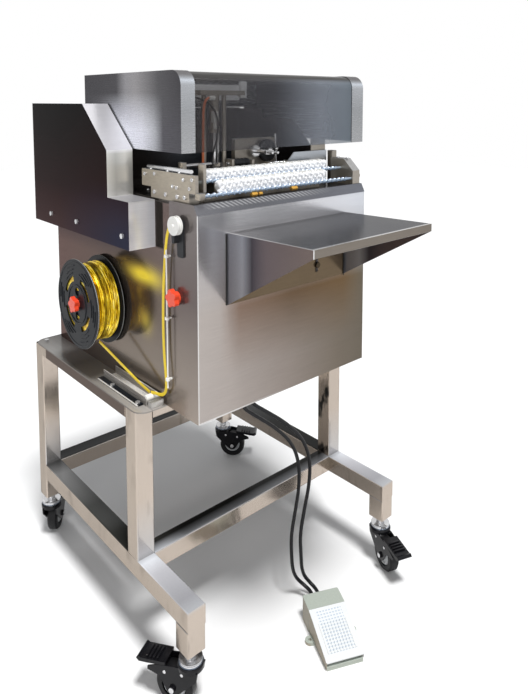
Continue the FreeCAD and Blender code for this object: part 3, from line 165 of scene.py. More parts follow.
class Paint:
    """A material and the nodes that make it."""

    def __init__(self, name, **constants):
        self.material = bpy.data.materials.new(name)
        self.material.use_nodes = True
        self.tree = self.material.node_tree
        self.surface = self.tree.nodes["Principled BSDF"]
        for title, value in constants.items():
            self.surface.inputs[title.replace("_", " ")].default_value = value

    def node(self, kind, values=(), out=0, stops=None, **settings):
        made = self.tree.nodes.new("ShaderNode" + kind)
        for setting, value in settings.items():
            setattr(made, setting, value)
        if stops:
            ramp = made.color_ramp.elements
            while len(ramp) < len(stops):
                ramp.new(0.5)
            for stop, (place, colour) in zip(ramp, stops):
                stop.position = place
                stop.color = (*colour, 1)
        pairs = values.items() if isinstance(values, dict) else enumerate(values)
        for key, value in pairs:
            if isinstance(value, Shade):
                self.tree.links.new(value.socket, made.inputs[key])
            elif value is not None:
                made.inputs[key].default_value = value
        return Shade(self, made.outputs[out])

    def place(self):
        return self.node("TexCoord", out="Object")

    def axes(self):
        spot = self.place()
        return [self.node("SeparateXYZ", (spot,), out=axis) for axis in "XYZ"]

    def noise(self, scale, detail=3.0, stretch=None, rough=0.5):
        spot = self.place()
        if stretch:
            spot = self.node("Mapping", {"Vector": spot, "Scale": stretch})
        return self.node("TexNoise", {"Vector": spot, "Scale": scale, "Detail": detail, "Roughness": rough})

    def blend(self, factor, first, second, mode="MIX"):
        made = self.tree.nodes.new("ShaderNodeMix")
        made.data_type = "RGBA"
        made.blend_type = mode
        for key, value in ((0, factor), (6, first), (7, second)):
            if isinstance(value, Shade):
                self.tree.links.new(value.socket, made.inputs[key])
            else:
                made.inputs[key].default_value = value if key == 0 else (*value, 1)
        return Shade(self, made.outputs[2])

    def span(self, axis, low, high):
        """How far a place is along an axis: 0 at low, 1 at high, in the drawing's millimetres."""
        number = "xyz".index(axis)
        start = (low + CORNER[number]) / 1000
        return ((self.axes()[number] - start) * (1000 / (high - low))).clamp()

    def ramp(self, value, *stops):
        return self.node("ValToRGB", (value,), stops=stops)

    def facing(self, axis, way):
        """1 on faces that look along an axis, with a soft change round a bend."""
        normal = self.node("TexCoord", out="Normal")
        part = self.node("SeparateXYZ", (normal,), out=axis.upper())
        return ((part * way - 0.35) * 2.5).clamp()

    def bump(self, height, strength=0.2, depth=0.0003):
        return self.node("Bump", {"Height": height, "Strength": strength, "Distance": depth})

    def put(self, **links):
        for title, value in links.items():
            self.tree.links.new(value.socket, self.surface.inputs[title.replace("_", " ")])
        return self.material


def brushed(name, rest, left=None, front=None, top=None, grain=(25, 25, 900), rough=0.2, marks_depth=0.35,
            metal=0.8, dull=None):
    """Brushed stainless steel with painted reflections and shade, a different painted tone on each side.

    A side's painted tone is a colour, or a function that paints it; grain is how tightly the marks repeat,
    metal how far the steel mirrors its surroundings and dull a function for how much less it does so.
    """
    paint = Paint(name, Metallic=metal, Specular_Tint=(0.42, 0.42, 0.42, 1), Specular_IOR_Level=0.08)
    marks = paint.noise(1.0, 4.0, grain, 0.65)
    cloud = paint.noise(4.0, 2.0)
    colour = rest
    for axis, way, tone in (("x", -1, left), ("y", -1, front), ("z", 1, top)):
        if tone is not None:
            colour = paint.blend(paint.facing(axis, way), colour, tone(paint) if callable(tone) else tone)
    shade = marks * marks_depth + cloud * 0.3 + (0.85 - marks_depth / 2)
    colour = paint.blend(1.0, colour, shade, "MULTIPLY")
    if dull:
        paint.put(Metallic=metal - dull(paint))
    return paint.put(Base_Color=colour, Roughness=marks * 0.1 + cloud * 0.06 + (rough - 0.05),
                     Normal=paint.bump(marks, 0.1, 0.0002))


def plastic(name, dark, light, rough=0.4, grain=900.0, **constants):
    """Moulded plastic or paint with a fine skin and slight changes of tone."""
    paint = Paint(name, **constants)
    skin = paint.noise(grain, 2.0)
    cloud = paint.noise(22.0, 4.0)
    colour = paint.blend((skin * 0.35 + cloud * 0.75).clamp(), dark, light)
    return paint.put(Base_Color=colour, Roughness=(cloud * 0.18 + rough).clamp(),
                     Normal=paint.bump(skin, 0.1))


# Painted reflections and painted shade on the steel, side by side of the machine.


def cover_front(paint):
    """Painted reflections and shade: pale and warm low on the left, brown painted shade beneath the tray,
    olive to the right, bluish near the top.
    """
    across = paint.span("x", COVER_LOW.x, COVER_HIGH.x)
    low = paint.ramp(across, (0.0, (0.42, 0.38, 0.355)), (0.45, (0.29, 0.25, 0.225)),
                     (0.8, (0.19, 0.16, 0.13)), (1.0, (0.14, 0.12, 0.095)))
    brown = paint.ramp(across, (0.1, (0.25, 0.165, 0.125)), (0.5, (0.125, 0.075, 0.038)),
                       (0.85, (0.155, 0.095, 0.045)), (1.0, (0.14, 0.12, 0.09)))
    # Painted shade beneath the tray: a brown band over the lower face.
    low = paint.blend(paint.span("z", 590, 735) * paint.span("x", 112, 160), low, brown)
    high = paint.ramp(across, (0.0, (0.46, 0.46, 0.48)), (0.12, (0.42, 0.42, 0.44)), (0.2, (0.8, 0.8, 0.82)),
                      (0.6, (0.72, 0.72, 0.75)), (1.0, (0.62, 0.64, 0.69)))
    face = paint.blend(paint.span("z", 720, 890), low, high)
    # A painted highlight along the cover's left edge and along the left of its lower edge.
    edge = (paint.span("x", 63.4, 62.2) + paint.span("z", 518.6, 517) * paint.span("x", 300, 100)).clamp()
    face = paint.blend(edge, face, (0.66, 0.65, 0.64))
    # Painted reflections on the chamfer, with painted comb-like reflections along its top.
    chamfer = paint.ramp(across, (0.0, (0.2, 0.2, 0.215)), (0.3, (0.14, 0.142, 0.155)),
                         (1.0, (0.19, 0.2, 0.23)))
    x, y, z = paint.axes()
    painted_comb_reflection = ((x * 560 + z * 900).sine() > 0.1) * paint.span("z", 917, 920) * paint.span("x", 80, 110)
    chamfer = paint.blend(painted_comb_reflection * paint.span("x", 430, 330) * 0.8, chamfer, (0.55, 0.55, 0.56))
    return paint.blend((paint.facing("z", 1) + paint.span("z", 908, 912)).clamp(), face, chamfer)


def cover_left(paint):
    # Painted reflection and shade on the cover's left side: pale at its foot, darkest above the middle.
    return paint.ramp(paint.span("z", TABLE, 900), (0.0, (0.36, 0.31, 0.27)), (0.3, (0.25, 0.215, 0.19)),
                      (0.6, (0.15, 0.125, 0.12)), (1.0, (0.20, 0.18, 0.175)))


def side_left(paint):
    """The long side, in painted reflections and painted shade: beige at its foot, dark brown in the middle
    and purplish above.
    """
    tall = paint.ramp(paint.span("z", TABLE, 830), (0.0, (0.30, 0.26, 0.225)), (0.25, (0.24, 0.205, 0.175)),
                      (0.55, (0.16, 0.13, 0.11)), (1.0, (0.15, 0.115, 0.105)))
    tall = paint.blend(paint.span("y", 150, 460), tall, (0.17, 0.115, 0.105))
    # Painted shade, nearly black, in a narrow gap high on the side.
    gap = paint.span("y", 30, 8) * paint.span("y", -15, -13) * paint.span("z", 828, 832)
    tall = paint.blend(gap * 0.9, tall, (0.012, 0.012, 0.01))
    # Painted shade on the side under the drive cover.
    shade = paint.span("y", 60, 150) * paint.span("z", 770, 815) * 0.6
    tall = paint.blend(shade, tall, (0.05, 0.045, 0.055))
    # Painted reflection of the gold ribbon.
    return paint.blend(painted_ribbon_reflection(paint), tall, (0.95, 0.74, 0.07))


# Each painted reflection of the gold ribbon has the place of its middle along y and z,
# how far it spreads both ways, and its strength.
RIBBON_REFLECTIONS = ((66, 762, 80, 24, 1.1), (58, 669, 28, 30, 0.5))


def painted_ribbon_reflection(paint):
    """Two soft ovals of painted reflection of the gold ribbon on the side."""
    reflection_mask = 0.0
    x, along, up = paint.axes()
    for y, z, wide, high, strength in RIBBON_REFLECTIONS:
        spot = at(0, y, z)
        far = ((along - spot.y) * (1000 / wide)) ** 2.0 + ((up - spot.z) * (1000 / high)) ** 2.0
        reflection_mask = (far * -1.6).exponent() * strength + reflection_mask
    return reflection_mask.clamp()


def drive_left(paint):
    """Painted reflections: nearly black at the top, reddish brown below and bluish towards the front."""
    tall = paint.ramp(paint.span("z", 830, 1112), (0.0, (0.05, 0.025, 0.025)), (0.35, (0.02, 0.007, 0.007)),
                      (1.0, (0.009, 0.007, 0.007)))
    # A painted bluish reflection low towards the front.
    corner = (paint.span("y", 330, 60) * paint.span("z", 960, 850)).clamp()
    return paint.blend(corner, tall, (0.025, 0.025, 0.045))


def drive_front(paint):
    """Painted reflections and shade: a bright slope, a shaded upright face and a bright lower step."""
    face = paint.ramp(paint.span("x", 2, 61), (0.0, (0.75, 0.75, 0.72)), (0.35, (0.5, 0.5, 0.48)),
                      (0.7, (0.7, 0.69, 0.65)), (1.0, (0.45, 0.44, 0.41)))
    upper = paint.blend(paint.span("z", 1012, 1024), face, (0.95, 0.95, 1.0))
    step = paint.ramp(paint.span("x", 2, 61), (0.0, (0.75, 0.72, 0.74)), (0.4, (0.98, 0.98, 1.0)),
                      (1.0, (0.9, 0.9, 0.95)))
    return paint.blend(paint.span("z", 927, 920), upper, step)


def cap_left(paint):
    """The hood's end: a pale painted reflection that widens towards its foot, between two dark ends."""
    along = paint.span("y", -75, 313)
    low = paint.ramp(along, (0.0, (0.09, 0.088, 0.098)), (0.16, (0.11, 0.108, 0.12)),
                     (0.24, (0.45, 0.46, 0.49)), (0.36, (0.75, 0.76, 0.82)), (0.62, (0.78, 0.8, 0.86)),
                     (0.8, (0.3, 0.3, 0.32)), (1.0, (0.09, 0.088, 0.095)))
    high = paint.ramp(along, (0.0, (0.075, 0.073, 0.08)), (0.2, (0.12, 0.118, 0.125)),
                      (0.42, (0.33, 0.32, 0.33)), (0.52, (0.3, 0.295, 0.31)), (0.62, (0.09, 0.088, 0.095)),
                      (1.0, (0.085, 0.083, 0.09)))
    return paint.blend(paint.span("z", 1060, 1135), low, high)


def strip_front(paint):
    # Painted reflection on the hood's front strip, with a painted highlight band near its top.
    return paint.ramp(paint.span("z", 1020, 1176), (0.0, (0.37, 0.375, 0.385)), (0.5, (0.33, 0.34, 0.355)),
                      (0.82, (0.42, 0.435, 0.46)), (0.88, (0.6, 0.64, 0.7)), (0.95, (0.3, 0.31, 0.32)),
                      (1.0, (0.2, 0.195, 0.19)))


def gusset_left(paint):
    # Painted reflection on the tray's left side: grey near the cabinet, a bright band, then dark brown.
    return paint.ramp(paint.span("y", -127, -352), (0.0, (0.24, 0.24, 0.27)), (0.12, (0.31, 0.31, 0.34)),
                      (0.2, (0.38, 0.39, 0.43)), (0.32, (0.075, 0.068, 0.08)), (0.5, (0.13, 0.105, 0.11)),
                      (1.0, (0.16, 0.125, 0.115)))


def tray_front(paint):
    """Painted reflections: a pale lip in front with a painted highlight on its left edge,
    and an olive wall behind it.
    """
    lip = paint.blend(paint.span("x", 132.5, 131), (0.21, 0.185, 0.16), (0.8, 0.8, 0.8))
    return paint.blend(paint.span("y", -300, -200), lip, (0.15, 0.11, 0.07))


def tray_top(paint):
    across = paint.span("x", 129, 465)
    # Painted reflections on the tray's top: pale on the left, darker to the right.
    sheet = paint.ramp(across + paint.span("y", -127, -352) * 0.3, (0.0, (0.34, 0.33, 0.345)),
                       (0.28, (0.17, 0.17, 0.18)), (0.55, (0.16, 0.16, 0.17)), (0.8, (0.12, 0.12, 0.13)),
                       (1.0, (0.09, 0.09, 0.10)))
    x, y, z = paint.axes()
    row = paint.span("y", -131, -134) * paint.span("y", -152, -149) * paint.span("x", 140, 143)
    dots = ((x * 640).sine() > 0) * row
    sheet = paint.blend(dots * 0.9, sheet, (0.02, 0.02, 0.02))
    # A painted highlight along the tray's left and front edges.
    edge = (paint.span("x", 134, 133) + paint.span("y", -345.5, -347)).clamp()
    return paint.blend(edge, sheet, (0.85, 0.84, 0.84))


def tube_left(paint):
    """Painted reflections: beige on the left stand with painted dark reflections, nearly black on the legs
    of the right one, with what they mirror.
    """
    painted_dark_reflection = ((paint.noise(1.0, 2.0, (30, 30, 14)) - 0.58) * 6).clamp()
    beige = paint.blend(painted_dark_reflection, (0.5, 0.43, 0.365), (0.36, 0.31, 0.265))
    mirrored = ((paint.noise(1.0, 2.0, (40, 40, 17)) - 0.4) * 12).clamp()
    far = paint.blend(mirrored, (0.05, 0.046, 0.042), (0.5, 0.41, 0.33))
    upright = paint.span("x", 520, 540) * paint.span("z", 204, 208)
    # Painted shade under the table on the top side rails.
    rail = paint.span("z", 449, 452) * paint.span("y", 40.5, 42) * paint.span("y", 428, 426.5)
    beige = paint.blend(rail, beige, (0.15, 0.12, 0.105))
    return paint.blend(upright, beige, far)


def tube_front(paint):
    """Painted reflections: pale beige, bluish near the floor, with a few painted dark reflections."""
    painted_dark_reflection = ((paint.noise(1.0, 2.0, (30, 30, 11)) - 0.62) * 8).clamp()
    pale = paint.blend(painted_dark_reflection, (0.54, 0.465, 0.40), (0.3, 0.26, 0.225))
    return paint.blend(paint.span("z", 330, 200) * paint.span("z", 198, 206) * 0.7, pale, (0.52, 0.54, 0.57))


def tube_top(paint):
    """Painted reflections: bright on the feet, dark on the rails behind them."""
    return paint.ramp(paint.span("y", -172, 488), (0.0, (0.42, 0.43, 0.45)), (0.05, (0.33, 0.33, 0.35)),
                      (0.18, (0.5, 0.5, 0.53)), (0.24, (0.66, 0.68, 0.72)), (0.3, (0.02, 0.02, 0.018)),
                      (0.6, (0.035, 0.036, 0.034)), (0.85, (0.20, 0.20, 0.20)), (0.93, (0.06, 0.06, 0.06)),
                      (1.0, (0.02, 0.02, 0.02)))


def table_top(paint):
    # Painted reflections on the table's top: pale at the front, darker further back, with a lighter band.
    depth = paint.span("y", TABLE_LOW.y, TABLE_HIGH.y)
    return paint.ramp(depth, (0.0, (0.5, 0.47, 0.44)), (0.3, (0.34, 0.32, 0.29)),
                      (0.6, (0.15, 0.145, 0.135)), (0.8, (0.26, 0.255, 0.245)), (1.0, (0.2, 0.19, 0.18)))


def back_wall(paint):
    """What the hood shows of the wall behind it, in painted reflection and shade:
    dark on the left, blue grey to the right.
    """
    across = paint.span("x", COVER_LOW.x, COVER_HIGH.x) + paint.span("z", 930, 1100) * 0.25
    return paint.ramp(across, (0.0, (0.035, 0.03, 0.03)), (0.35, (0.06, 0.052, 0.05)),
                      (0.6, (0.05, 0.052, 0.06)), (0.72, (0.13, 0.145, 0.165)), (0.9, (0.19, 0.21, 0.235)),
                      (1.0, (0.15, 0.17, 0.195)))


def dull_painted_reflection(paint):
    """The ribbon's reflection is painted on the side, so there the steel mirrors nothing."""
    return painted_ribbon_reflection(paint) * 0.8


def dull_rail_top(paint):
    return paint.facing("z", 1) * 0.7


def dull_table_top(paint):
    return paint.facing("z", 1) * 0.5


# Every brushed steel below carries painted reflections and painted shade in its rest, left, front and top
# tones.
DARK = (0.085, 0.07, 0.062)
MID = (0.26, 0.25, 0.25)
cover_steel = brushed("cover_sheet", MID, cover_left, cover_front, (0.13, 0.133, 0.15), (20, 20, 700), 0.19,
                      metal=0.75)
side_steel = brushed("side_sheet", MID, side_left, (0.2, 0.18, 0.16), MID, (20, 16, 500), 0.13,
                     dull=dull_painted_reflection)
drive_steel = brushed("drive_sheet", MID, drive_left, drive_front, (0.7, 0.69, 0.72), (20, 16, 500),
                      marks_depth=0.2, metal=0.6)
rear_steel = brushed("rear_sheet", MID, (0.08, 0.07, 0.07), back_wall, (0.2, 0.2, 0.21), (20, 20, 500), 0.2)
tray_steel = brushed("tray_sheet", DARK, gusset_left, tray_front, tray_top, (25, 500, 500), 0.19, metal=0.7)
tube_steel = brushed("polished_tube", (0.16, 0.145, 0.13), tube_left, tube_front, tube_top, (260, 260, 30),
                     rough=0.12, marks_depth=0.15, dull=dull_rail_top)
table_steel = brushed("table_sheet", DARK, (0.22, 0.2, 0.185), (0.3, 0.28, 0.26), table_top, (260, 14, 260),
                      rough=0.15, marks_depth=0.2, dull=dull_table_top)
hood_steel = brushed("hood_sheet", MID, cap_left, strip_front, (0.2, 0.195, 0.2), (60, 14, 500),
                     rough=0.24, marks_depth=0.16, metal=0.65)
deck_steel = brushed("deck_sheet", (0.05, 0.046, 0.042), (0.1, 0.09, 0.08), (0.1, 0.09, 0.08),
                     (0.045, 0.042, 0.04))
guide_steel = brushed("guide_sheet", (0.3, 0.31, 0.33), (0.34, 0.35, 0.37), (0.46, 0.49, 0.53),
                      (0.5, 0.52, 0.55), (300, 30, 300), 0.3)
channel_steel = brushed("channel_sheet", (0.42, 0.41, 0.4), (0.3, 0.28, 0.26), (0.5, 0.48, 0.46),
                        (0.8, 0.78, 0.75), (300, 20, 300), 0.25, metal=0.35)
machined = brushed("machined_beige", (0.30, 0.27, 0.23), (0.42, 0.375, 0.31), (0.36, 0.33, 0.29),
                   (0.42, 0.42, 0.42), (200, 60, 300), rough=0.32, marks_depth=0.5)
bright_steel = brushed("bright_plated_steel", (0.7, 0.7, 0.71), grain=(150, 150, 150), rough=0.09)


def under_tray(paint):
    """Bright screws, with dark brown painted shadow on those under the tray."""
    return paint.blend(paint.span("y", -100, -110) * paint.span("z", 700, 710), (0.7, 0.7, 0.71),
                       (0.06, 0.045, 0.03))


screw_steel = brushed("screw_steel", (0.7, 0.7, 0.71), under_tray, under_tray, under_tray, (150, 150, 150),
                      0.09)
spring_steel = brushed("blue_spring_steel", (0.16, 0.21, 0.3), None, (0.3, 0.38, 0.48), (0.52, 0.6, 0.72),
                       (500, 500, 500), 0.3, metal=0.45)
dark_steel = plastic("blackened_steel", (0.02, 0.021, 0.024), (0.06, 0.062, 0.066), 0.32, Metallic=0.6,
                     Specular_Tint=(0.4, 0.4, 0.4, 1))
black_plastic = plastic("black_moulded_plastic", (0.002, 0.003, 0.004), (0.012, 0.014, 0.018), 0.28,
                        Specular_IOR_Level=0.1)
caster_black = plastic("caster_black", (0.003, 0.003, 0.004), (0.01, 0.01, 0.012), 0.12,
                       Specular_IOR_Level=0.2)
wheel_rubber = plastic("wheel_tread", (0.004, 0.004, 0.005), (0.015, 0.015, 0.016), 0.4,
                       Specular_IOR_Level=0.2)
hose_black = plastic("hose_black", (0.005, 0.005, 0.006), (0.015, 0.015, 0.017), 0.28,
                     Specular_IOR_Level=0.2)
star_red = plastic("star_grip_red", (0.75, 0.035, 0.012), (0.9, 0.1, 0.035), 0.22)
gripper_white = plastic("gripper_white", (0.8, 0.82, 0.85), (0.92, 0.92, 0.93), 0.6)
hub_grey = plastic("hub_grey", (0.2, 0.21, 0.22), (0.62, 0.63, 0.64), 0.2, 200)
white_plastic = plastic("white_plastic", (0.74, 0.73, 0.7), (0.86, 0.86, 0.83), 0.38)


def pedal(name, top, side, rough, tread=None):
    """Paint on the foot pedal: pale on top, taupe painted shade down its left side,
    with a grooved tread drawn as a grid of painted shade.
    """
    paint = Paint(name, Specular_IOR_Level=0.3)
    skin = paint.noise(500.0, 2.0)
    if tread:
        x, y, z = paint.axes()
        middle = on_pedal(0, 0, 0)
        cos, sin = math.cos(PEDAL_TURN), math.sin(PEDAL_TURN)
        across = (x - middle.x) * cos + (y - middle.y) * sin
        along = (y - middle.y) * cos - (x - middle.x) * sin
        rows = ((along * 1050).sine() > 0.25) * (along < 0.022) * (along > -0.058)
        columns = ((across * 950).sine() > -0.3) * (across.size() < 0.028)
        top = paint.blend(rows * columns, top, tread)
    colour = paint.blend(paint.facing("x", -1), top, side)
    colour = paint.blend(1.0, colour, skin * 0.25 + 0.87, "MULTIPLY")
    return paint.put(Base_Color=colour, Roughness=skin * 0.1 + rough, Normal=paint.bump(skin, 0.2, 0.0003))


pedal_paint = pedal("pedal_grey_green", (0.40, 0.44, 0.39), (0.33, 0.3, 0.24), 0.45)
pedal_cream = pedal("pedal_tread_cream", (0.72, 0.74, 0.75), (0.34, 0.3, 0.235), 0.5, (0.45, 0.52, 0.6))
race_steel = plastic("ball_race", (0.05, 0.06, 0.085), (0.15, 0.18, 0.23), 0.18, Metallic=0.9)
deep_black = plastic("shadow_gap", (0.004, 0.004, 0.004), (0.01, 0.01, 0.01), 0.7)
rim_highlight_grey = plastic("rim_highlight_grey", (0.2, 0.21, 0.21), (0.42, 0.43, 0.42), 0.25)
orange_tube = plastic("orange_air_tube", (0.6, 0.13, 0.04), (0.75, 0.2, 0.07), 0.3)
brass = brushed("turned_brass", (0.75, 0.42, 0.09), grain=(300, 300, 300), rough=0.2)


def knurl():
    """Diagonal knurling cut into bright steel."""
    paint = Paint("knurled_steel", Metallic=1.0)
    x, y, z = paint.axes()
    one = ((x + z) * 1800).sine().size()
    two = ((x - z) * 1800).sine().size()
    height = one * two
    # Darker in the knurling's grooves: painted shade.
    colour = paint.blend(height.clamp(), (0.3, 0.29, 0.28), (0.75, 0.74, 0.72))
    return paint.put(Base_Color=colour, Roughness=height * 0.2 + 0.25, Normal=paint.bump(height, 0.8, 0.001))


knurled = knurl()


def smoky():
    """Tinted acrylic, seen through, with a clear gloss and painted reflections: dark on the left, bluish
    to the right, painted darker where it bends over the top, with lighter painted streaks there.
    """
    paint = Paint("smoky_acrylic", Roughness=0.05, IOR=1.15, Specular_IOR_Level=0.25)
    smear = paint.noise(9.0, 3.0)
    across = paint.ramp(paint.span("x", 90, 560), (0.0, (0.06, 0.055, 0.055)), (0.45, (0.09, 0.09, 0.1)),
                        (0.75, (0.26, 0.285, 0.33)), (1.0, (0.2, 0.235, 0.27)))
    painted_streaks = ((paint.noise(1.0, 3.0, (5, 90, 90)) - 0.45) * 5).clamp()
    top = paint.blend(painted_streaks, (0.06, 0.058, 0.056), (0.1, 0.098, 0.096))
    colour = paint.blend(paint.facing("z", 1), across, top)
    tint = smear * 0.2 + paint.facing("z", 1) * 0.8 + paint.span("x", 330, 520) * 0.25 + 0.26
    return paint.put(Base_Color=colour, Alpha=tint.clamp())


def tie_ribbon():
    """Gold-coated ribbon: fine bright and dark turns round the reel's axis."""
    paint = Paint("gold_tie", Metallic=0.85)
    strands = paint.noise(1.0, 3.0, (900, 60, 60), 0.6)
    sweep = paint.noise(1.0, 2.0, (60, 34, 34))
    colour = paint.ramp(((strands - 0.5) * 1.9 + sweep).clamp(), (0.0, (0.16, 0.07, 0.004)),
                        (0.35, (0.5, 0.3, 0.01)), (0.6, (0.93, 0.68, 0.02)), (1.0, (1.0, 0.9, 0.35)))
    return paint.put(Base_Color=colour, Roughness=strands * 0.25 + 0.18,
                     Normal=paint.bump(strands, 0.6, 0.001))


acrylic = smoky()
gold = tie_ribbon()
yellow_tie = plastic("yellow_tie", (0.6, 0.4, 0.008), (0.95, 0.72, 0.02), 0.3, 300)

PLACES = ("front_left", "front_right", "rear_left", "rear_right")
FINISHES = {
    cover_steel: ["front_cover"],
    tray_steel: ["bag_tray"],
    rear_steel: ["rear_panel", "rear_cover"],
    side_steel: ["cabinet_body"],
    drive_steel: ["drive_cover"],
    table_steel: ["table_plate"],
    deck_steel: ["mechanism_deck"],
    channel_steel: ["tape_channel"],
    tube_steel: ["stand_legs", "side_rails", "cross_rails"],
    hood_steel: ["hood_left_cap", "hood_right_cap", "hood_back_rail", "hood_hinges"],
    guide_steel: ["guide_plate"],
    machined: ["belt_carriers", "feed_end_plates", "twister_plate", "press_cylinder", "press_bridge",
               "front_sprocket_left", "front_sprocket_right", "rear_sprocket_left", "rear_sprocket_right"],
    screw_steel: ["cover_screws"],
    bright_steel: ["reel_spindle", "press_rod", "twister_spindle", "caster_stems"],
    spring_steel: ["feed_springs"],
    dark_steel: ["pulley_bracket", "twister_gear"],
    black_plastic: ["tie_reel", "hose_glands"],
    star_red: ["reel_knob", "cover_knob"],
    white_plastic: ["channel_roller", "tape_pulley", "lug_belts", "tape_guides"],
    pedal_paint: ["pedal_base"],
    pedal_cream: ["pedal_treadle"],
    acrylic: ["hood_shell"],
    gold: ["tie_winding"],
    caster_black: [f"caster_{part}_{place}" for part in ("fork", "brake") for place in PLACES],
    wheel_rubber: [f"caster_wheel_{place}" for place in PLACES],
}
for material, names in FINISHES.items():
    for name in names:
        mesh = NODES[name].data
        mesh.materials.clear()
        mesh.materials.append(material)

for side, (x, sign, route) in HOSES.items():
    points = [at(x, GLAND_Y, GLAND_Z)] + [at(*spot) for spot in route]
    points += [on_pedal(sign * 7, 101, 26), on_pedal(sign * 7, 79, 22)]
    hose = nurbs(f"air_hose_{side}", points, HOSE_RADIUS, hose_black)
    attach(hose, "frame")
    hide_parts(f"hose_{side}")


# Hand work: each piece starts as a primitive and is shaped and finished before it is placed.


def start(make, name, **settings):
    """A new primitive, alone in the selection, with its place in its mesh."""
    bpy.ops.object.select_all(action="DESELECT")
    make(**settings)
    piece = bpy.context.object
    piece.name = piece.data.name = name
    bpy.ops.object.transform_apply(location=True, rotation=True, scale=True)
    return piece


def pick(piece, test, kind="FACE"):
    """Go to edit mode with the faces or edges that pass the test selected."""
    bpy.ops.object.select_all(action="DESELECT")
    bpy.context.view_layer.objects.active = piece
    piece.select_set(True)
    bpy.ops.object.mode_set(mode="EDIT")
    bpy.ops.mesh.select_mode(type=kind)
    bpy.ops.mesh.select_all(action="DESELECT")
    bpy.ops.object.mode_set(mode="OBJECT")
    mesh = piece.data
    if kind == "FACE":
        for face in mesh.polygons:
            face.select = test(face.center, face.normal)
    else:
        for edge in mesh.edges:
            first, second = (mesh.vertices[i].co for i in edge.vertices)
            edge.select = test((first + second) / 2, (second - first).normalized())
    bpy.ops.object.mode_set(mode="EDIT")


def leave():
    bpy.ops.object.mode_set(mode="OBJECT")


def push(way):
    bpy.ops.mesh.extrude_region_move(TRANSFORM_OT_translate={"value": way})


def apply(piece, kind, **settings):
    """Add a modifier and make it part of the mesh."""
    made = piece.modifiers.new(kind.lower(), kind)
    for setting, value in settings.items():
        setattr(made, setting, value)
    bpy.context.view_layer.objects.active = piece
    bpy.ops.object.modifier_apply(modifier=made.name)
    return piece


def mend(piece):
    """Merge doubles and turn the faces outwards."""
    pick(piece, lambda spot, normal: True)
    bpy.ops.mesh.remove_doubles(threshold=1e-6)
    bpy.ops.mesh.normals_make_consistent(inside=False)
    leave()
    return piece


def done(piece, material, body="frame", edge=0.0, instead=()):
    """Soften the edges, give the piece its finish and let it ride on its body."""
    if edge:
        apply(piece, "BEVEL", width=edge / 1000, segments=2, limit_method="ANGLE",
              angle_limit=math.radians(35))
    if piece.type == "MESH":
        bpy.ops.object.select_all(action="DESELECT")
        bpy.context.view_layer.objects.active = piece
        piece.select_set(True)
        bpy.ops.object.shade_smooth_by_angle(angle=math.radians(35))
    piece.data.materials.clear()
    piece.data.materials.append(material)
    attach(piece, body)
    if instead:
        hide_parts(*instead)
    return piece


def block(name, low, high):
    """A block between two corners, in millimetres from the stand's corner."""
    low, high = at(*low), at(*high)
    return start(bpy.ops.mesh.primitive_cube_add, name, size=1, location=(low + high) / 2, scale=high - low)


TURNS = {"x": (0, math.pi / 2, 0), "y": (math.pi / 2, 0, 0), "z": (0, 0, 0)}


def bar(name, along, spot, radius, length, sides=32, middle=False):
    """A round bar that starts at a spot and runs up along an axis."""
    way = Vector([axis == along for axis in "xyz"]) * length / 1000
    centre = at(*spot) + (Vector() if middle else way / 2)
    return start(bpy.ops.mesh.primitive_cylinder_add, name, vertices=sides, radius=radius / 1000,
                 depth=length / 1000, location=centre, rotation=TURNS[along])


def ring(name, along, spot, radius, thick, sides=64, around=12):
    return start(bpy.ops.mesh.primitive_torus_add, name, location=at(*spot), rotation=TURNS[along],
                 major_radius=radius / 1000, minor_radius=thick / 1000, major_segments=sides,
                 minor_segments=around)


def joined(name, pieces):
    """Several pieces made one object."""
    bpy.ops.object.select_all(action="DESELECT")
    for piece in pieces:
        piece.select_set(True)
    bpy.context.view_layer.objects.active = pieces[0]
    bpy.ops.object.join()
    pieces[0].name = pieces[0].data.name = name
    return pieces[0]


STEPS_PER_TURN = 12


def coil(name, spot, radius, wire, pitch, length):
    """A wound spring along x."""
    turns = int(round(length, 1) / pitch)
    piece = start(bpy.ops.mesh.primitive_circle_add, name, vertices=6, radius=wire / 1000, fill_type="NGON",
                  location=(0, 0, (radius - wire) / 1000), rotation=(math.pi / 2, 0, 0))
    apply(piece, "SCREW", axis="X", screw_offset=pitch / 1000, iterations=turns,
          steps=STEPS_PER_TURN, render_steps=STEPS_PER_TURN, use_normal_calculate=True)
    mend(piece)
    piece.data.transform(Matrix.Translation(at(*spot)))
    return piece


# Spring rods of the feed: a coil round a core, in front of each belt.

SPRING_LENGTH = SPRINGS_HIGH.x - SPRINGS_LOW.x
SPRINGS = {"front": (SPRINGS_LOW.x, -108, 941), "rear": (SPRINGS_LOW.x, -76, 963)}

coils = [coil(f"{name}_coil", spot, 5.0, 2.9, 14, SPRING_LENGTH) for name, spot in SPRINGS.items()]
cores = [bar(f"{name}_core", "x", spot, 3, SPRING_LENGTH, 12) for name, spot in SPRINGS.items()]
springs = joined("feed_spring_coils", coils + cores)
done(springs, spring_steel, instead=["feed_springs"])


# Tie: the wound reel and the ribbon that runs over the roller and up to the pulley.


